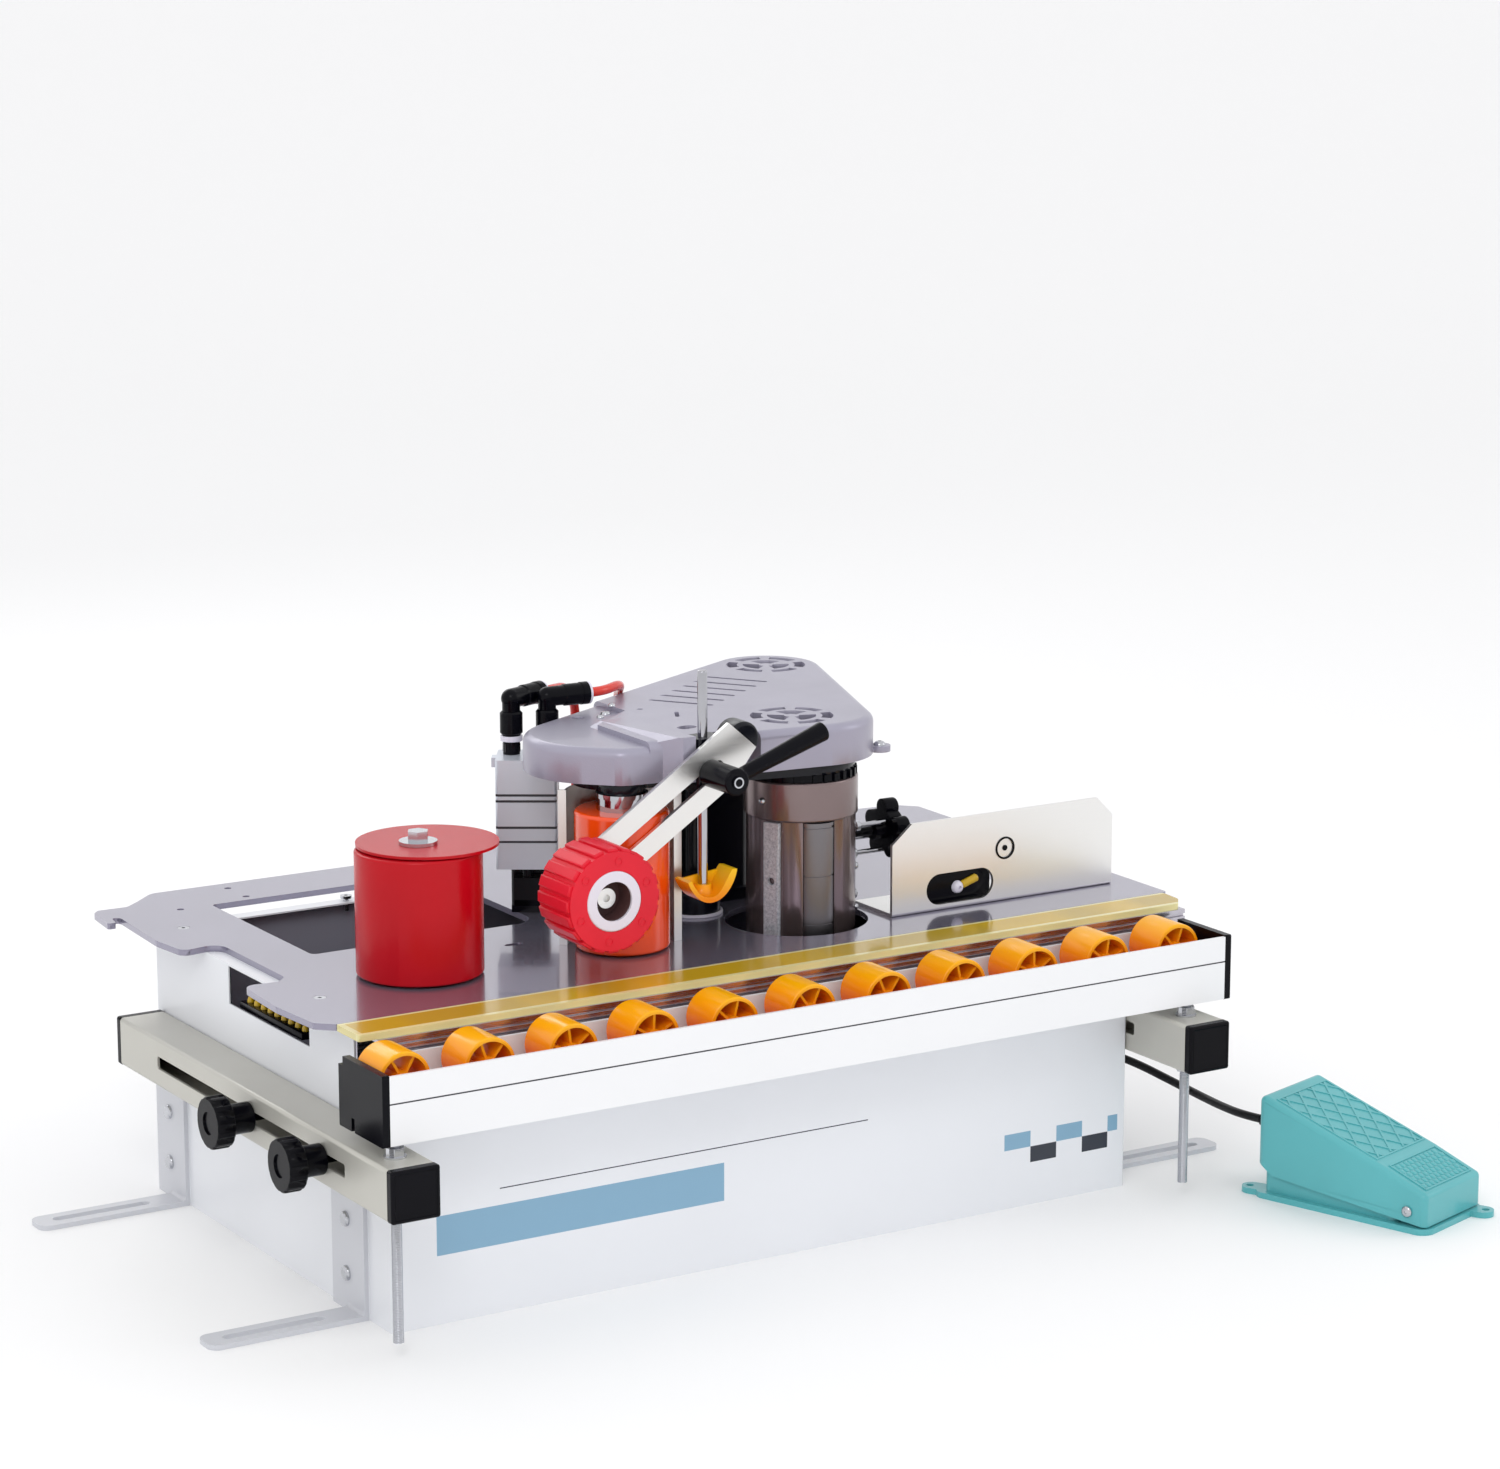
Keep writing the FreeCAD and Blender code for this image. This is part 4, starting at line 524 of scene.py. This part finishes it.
def pedal_mm(x, y, z):
    """A point given from the pedal's own corner, in the cabinet corner's millimetres."""
    return (PEDAL_CORNER[0] + x * math.cos(PEDAL_TURN) - y * math.sin(PEDAL_TURN),
            PEDAL_CORNER[1] + x * math.sin(PEDAL_TURN) + y * math.cos(PEDAL_TURN), z)


def add_toe_bumps(material, slot):
    """Honeycomb of low domes on the pedal's toe, inside a thin raised border."""
    rise = (PEDAL_KNEE_H - PEDAL_TOE_H) / PEDAL_KNEE_Y

    def on_toe(x, y, lift):
        return at(*pedal_mm(x, y - lift * 0.36, PEDAL_TOE_H + rise * y + lift * 0.93))

    bm = bmesh.new()
    for row in range(6):
        for column in range(11 - row % 2):
            x, y = 12.5 + 6.1 * (column + 0.5 * (row % 2)), 9.5 + 5.2 * row
            rings = []
            for radius, lift in ((2.9, -0.3), (2.6, 0.5), (1.7, 1.05), (0.7, 1.25)):
                rings.append([bm.verts.new(on_toe(x + radius * math.cos(math.radians(36 * k)),
                                                  y + radius * math.sin(math.radians(36 * k)), lift))
                              for k in range(10)])
            for low, high in zip(rings, rings[1:]):
                for k in range(10):
                    bm.faces.new((low[k], low[(k + 1) % 10], high[(k + 1) % 10], high[k]))
            bm.faces.new(rings[-1])
            bm.faces.new(rings[0][::-1])
    outer, inner = (8.0, 5.0, 78.0, 40.5), (9.4, 6.4, 76.6, 39.1)
    loops = []
    for (x0, y0, x1, y1), lift in ((outer, -0.3), (outer, 0.9), (inner, 0.9), (inner, -0.3)):
        corners = ((x0, y0), (x1, y0), (x1, y1), (x0, y1))
        loops.append([bm.verts.new(on_toe(x, y, lift)) for x, y in corners])
    for low, high in zip(loops, loops[1:] + loops[:1]):
        for k in range(4):
            bm.faces.new((low[k], low[(k + 1) % 4], high[(k + 1) % 4], high[k]))
    bmesh.ops.recalc_face_normals(bm, faces=bm.faces)
    finished("toe_bumps", bm, material, "tread")


def add_details(materials):
    """Small fixed fittings that dress the nodes."""
    def use(slot):
        return materials[slot], slot

    turn = math.radians(-32.0)
    for i, (x, y, way) in enumerate(((-13.0, 6.0, 20.0), (16.0, 14.0, -4.0))):
        cx = 272.7 + x * math.cos(turn) - y * math.sin(turn)
        cy = 278.0 + x * math.sin(turn) + y * math.cos(turn)
        turned("elbow_collar_%d" % i, hollow(7.45, 9.2, 4.5), (cx, cy, 372), (0, 0, 1),
               *use("bush_white"), "frame")
        along = (math.cos(math.radians(way)), math.sin(math.radians(way)), 0)
        mouth = (cx + along[0] * 35.2, cy + along[1] * 35.2, ELBOW_Z)
        turned("elbow_ring_%d" % i, hollow(4.4, 9.3, 3.0), mouth, along, *use("bush_white"), "frame")
        turned("elbow_sleeve_%d" % i, hollow(6.0, 9.4, 19.0, 1.4), (cx, cy, 377.5), (0, 0, 1),
               *use("black_plastic"), "frame")
        sleeve = (cx + along[0] * 13.5, cy + along[1] * 13.5, ELBOW_Z)
        turned("elbow_grip_%d" % i, hollow(6.0, 9.0, 21.0, 1.4), sleeve, along,
               *use("black_plastic"), "frame")

    plate("terminal_block", (3.2, 150, 190.5), (17, 262, 196), *use("black_plastic"), "frame")
    for i in range(9):
        turned("terminal_%02d" % i, dome(3.0, 5.0), (9.5, 156 + 12.3 * i, 196), (0, 0, 1),
               *use("mustard"), "frame")

    # Painted shade: a black block behind the fence's window stands in for the shade inside it.
    plate("fence_window_shade_block", (549, 109, 232.2), (618, 119, 261), *use("black_plastic"), "fence", 2.0)
    turned("fence_stop", dome(5.4, 5.0), (584, 109, 245), (0, -1, 0), *use("bush_white"), "fence")
    turned("fence_stop_shank", hollow(0.0, 3.4, 16, 1.2), (588, 108.6, 246), (0.93, -0.1, 0.35),
           *use("mustard"), "fence")
    turned("fence_screw_ring", hollow(8.0, 9.6, 0.9, 0.3), (627.5, 102.2, 274), (0, -1, 0),
           *use("black_plastic"), "fence")
    turned("fence_screw_socket", hollow(0.0, 2.4, 0.8, 0.2), (627.5, 102.5, 274), (0, -1, 0),
           *use("black_plastic"), "fence")

    for i, (y, z) in enumerate(((141, 300), (157, 286), (146, 276))):
        turned("pot_stud_%d" % i, hollow(0.0, 2.2, 34, 0.6), (499.5, y, z), (1, 0, 0),
               *use("chrome"), "frame")
        turned("pot_stud_cap_%d" % i, hollow(2.25, 4.4, 5, 0.8), (503, y, z), (1, 0, 0),
               *use("zinc"), "frame")

    for angle, z, r in ((-22, 246, 4.2), (-26, 270, 3.2), (196, 333, 3.0), (-38, 238, 2.6)):
        a = math.radians(angle)
        face = POT_R if z < 317 else POT_R + 1.7
        turned("pot_screw_%d_%d" % (angle, z), dome(r, 2.6),
               (POT_X + face * math.cos(a), POT_Y + face * math.sin(a), z),
               (math.cos(a), math.sin(a), 0), *use("zinc"), "frame")

    for x, y, r in ((333, 254, 4.4), (322, 243, 3.2), (344, 263, 3.2)):
        height = 393 if y < 241 or x < 344 else 397
        turned("cover_screw_%d" % x, dome(r, 2.4), (x, y, height), (0, 0, 1), *use("zinc"), "frame")
    for x, y in ((519, 128), (588, 376)):
        turned("ear_screw_%d" % x, dome(5.0, 3.4), (x, y, COVER_FOOT_Z), (0, 0, 1),
               *use("zinc"), "frame")

    turned("shoe_rim", hollow(22.2, 24.0, 2.6, 0.5), (388, 206, 229), (0, 0, 1),
           *use("bush_white"), "frame")
    turned("lever_ring", [(3.2, 0.0), (3.2, 0.9), (4.4, 0.9), (4.4, 0.0), (3.2, 0.0)],
           (338.83, 55.5, 371.6), (0, -1, 0), *use("zinc"), "lever")

    turned("pedal_pin_cap", dome(4.6, 1.8), pedal_mm(-1.2, 17, 17),
           (-math.cos(PEDAL_TURN), -math.sin(PEDAL_TURN), 0), *use("zinc"), "frame")
    add_toe_bumps(*use("pedal_teal"))

    for k in range(6):
        a = math.radians(60 * k + 22)
        turned("wheel_mark_%d" % k, [(2.6, -0.4), (2.6, 0.5), (3.5, 0.5), (3.5, -0.4)],
               (WHEEL_X + 31.5 * math.cos(a), 46.0, WHEEL_Z + 31.5 * math.sin(a)), (0, -1, 0),
               *use("wheel_red"), "wheel", 20)


# ---- free cord ----
def cable_route():
    """The pedal cable's points: out of the cabinet's gland, down, forward and level into the pedal."""
    return [at(702, 120, 82), at(719, 120, 82), at(741, 112, 79), at(759, 90, 71), at(771, 60, 62),
            at(776, 25, 56.5), at(772, -12, 56.5), at(*pedal_mm(24, 190, 58)),
            at(*pedal_mm(24, 172, 58))]


def add_cable(materials):
    curve = bpy.data.curves.new("pedal_cable_line", "CURVE")
    curve.dimensions = "3D"
    route = cable_route()
    spline = curve.splines.new("NURBS")
    spline.points.add(len(route) - 1)
    for point, place in zip(spline.points, route):
        point.co = (*place, 1.0)
    spline.order_u = 3
    spline.use_endpoint_u = True
    spline.resolution_u = 12
    curve.bevel_depth = 0.0035
    curve.bevel_resolution = 6
    cable = bpy.data.objects.new("pedal_cable_line", curve)
    bpy.context.collection.objects.link(cable)
    curve.materials.append(materials["cable_black"])
    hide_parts("pedal_cable")
    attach(cable, "frame")


add_camera()
add_stage()
materials = make_materials()
add_cable(materials)
add_details(materials)
dress(materials)
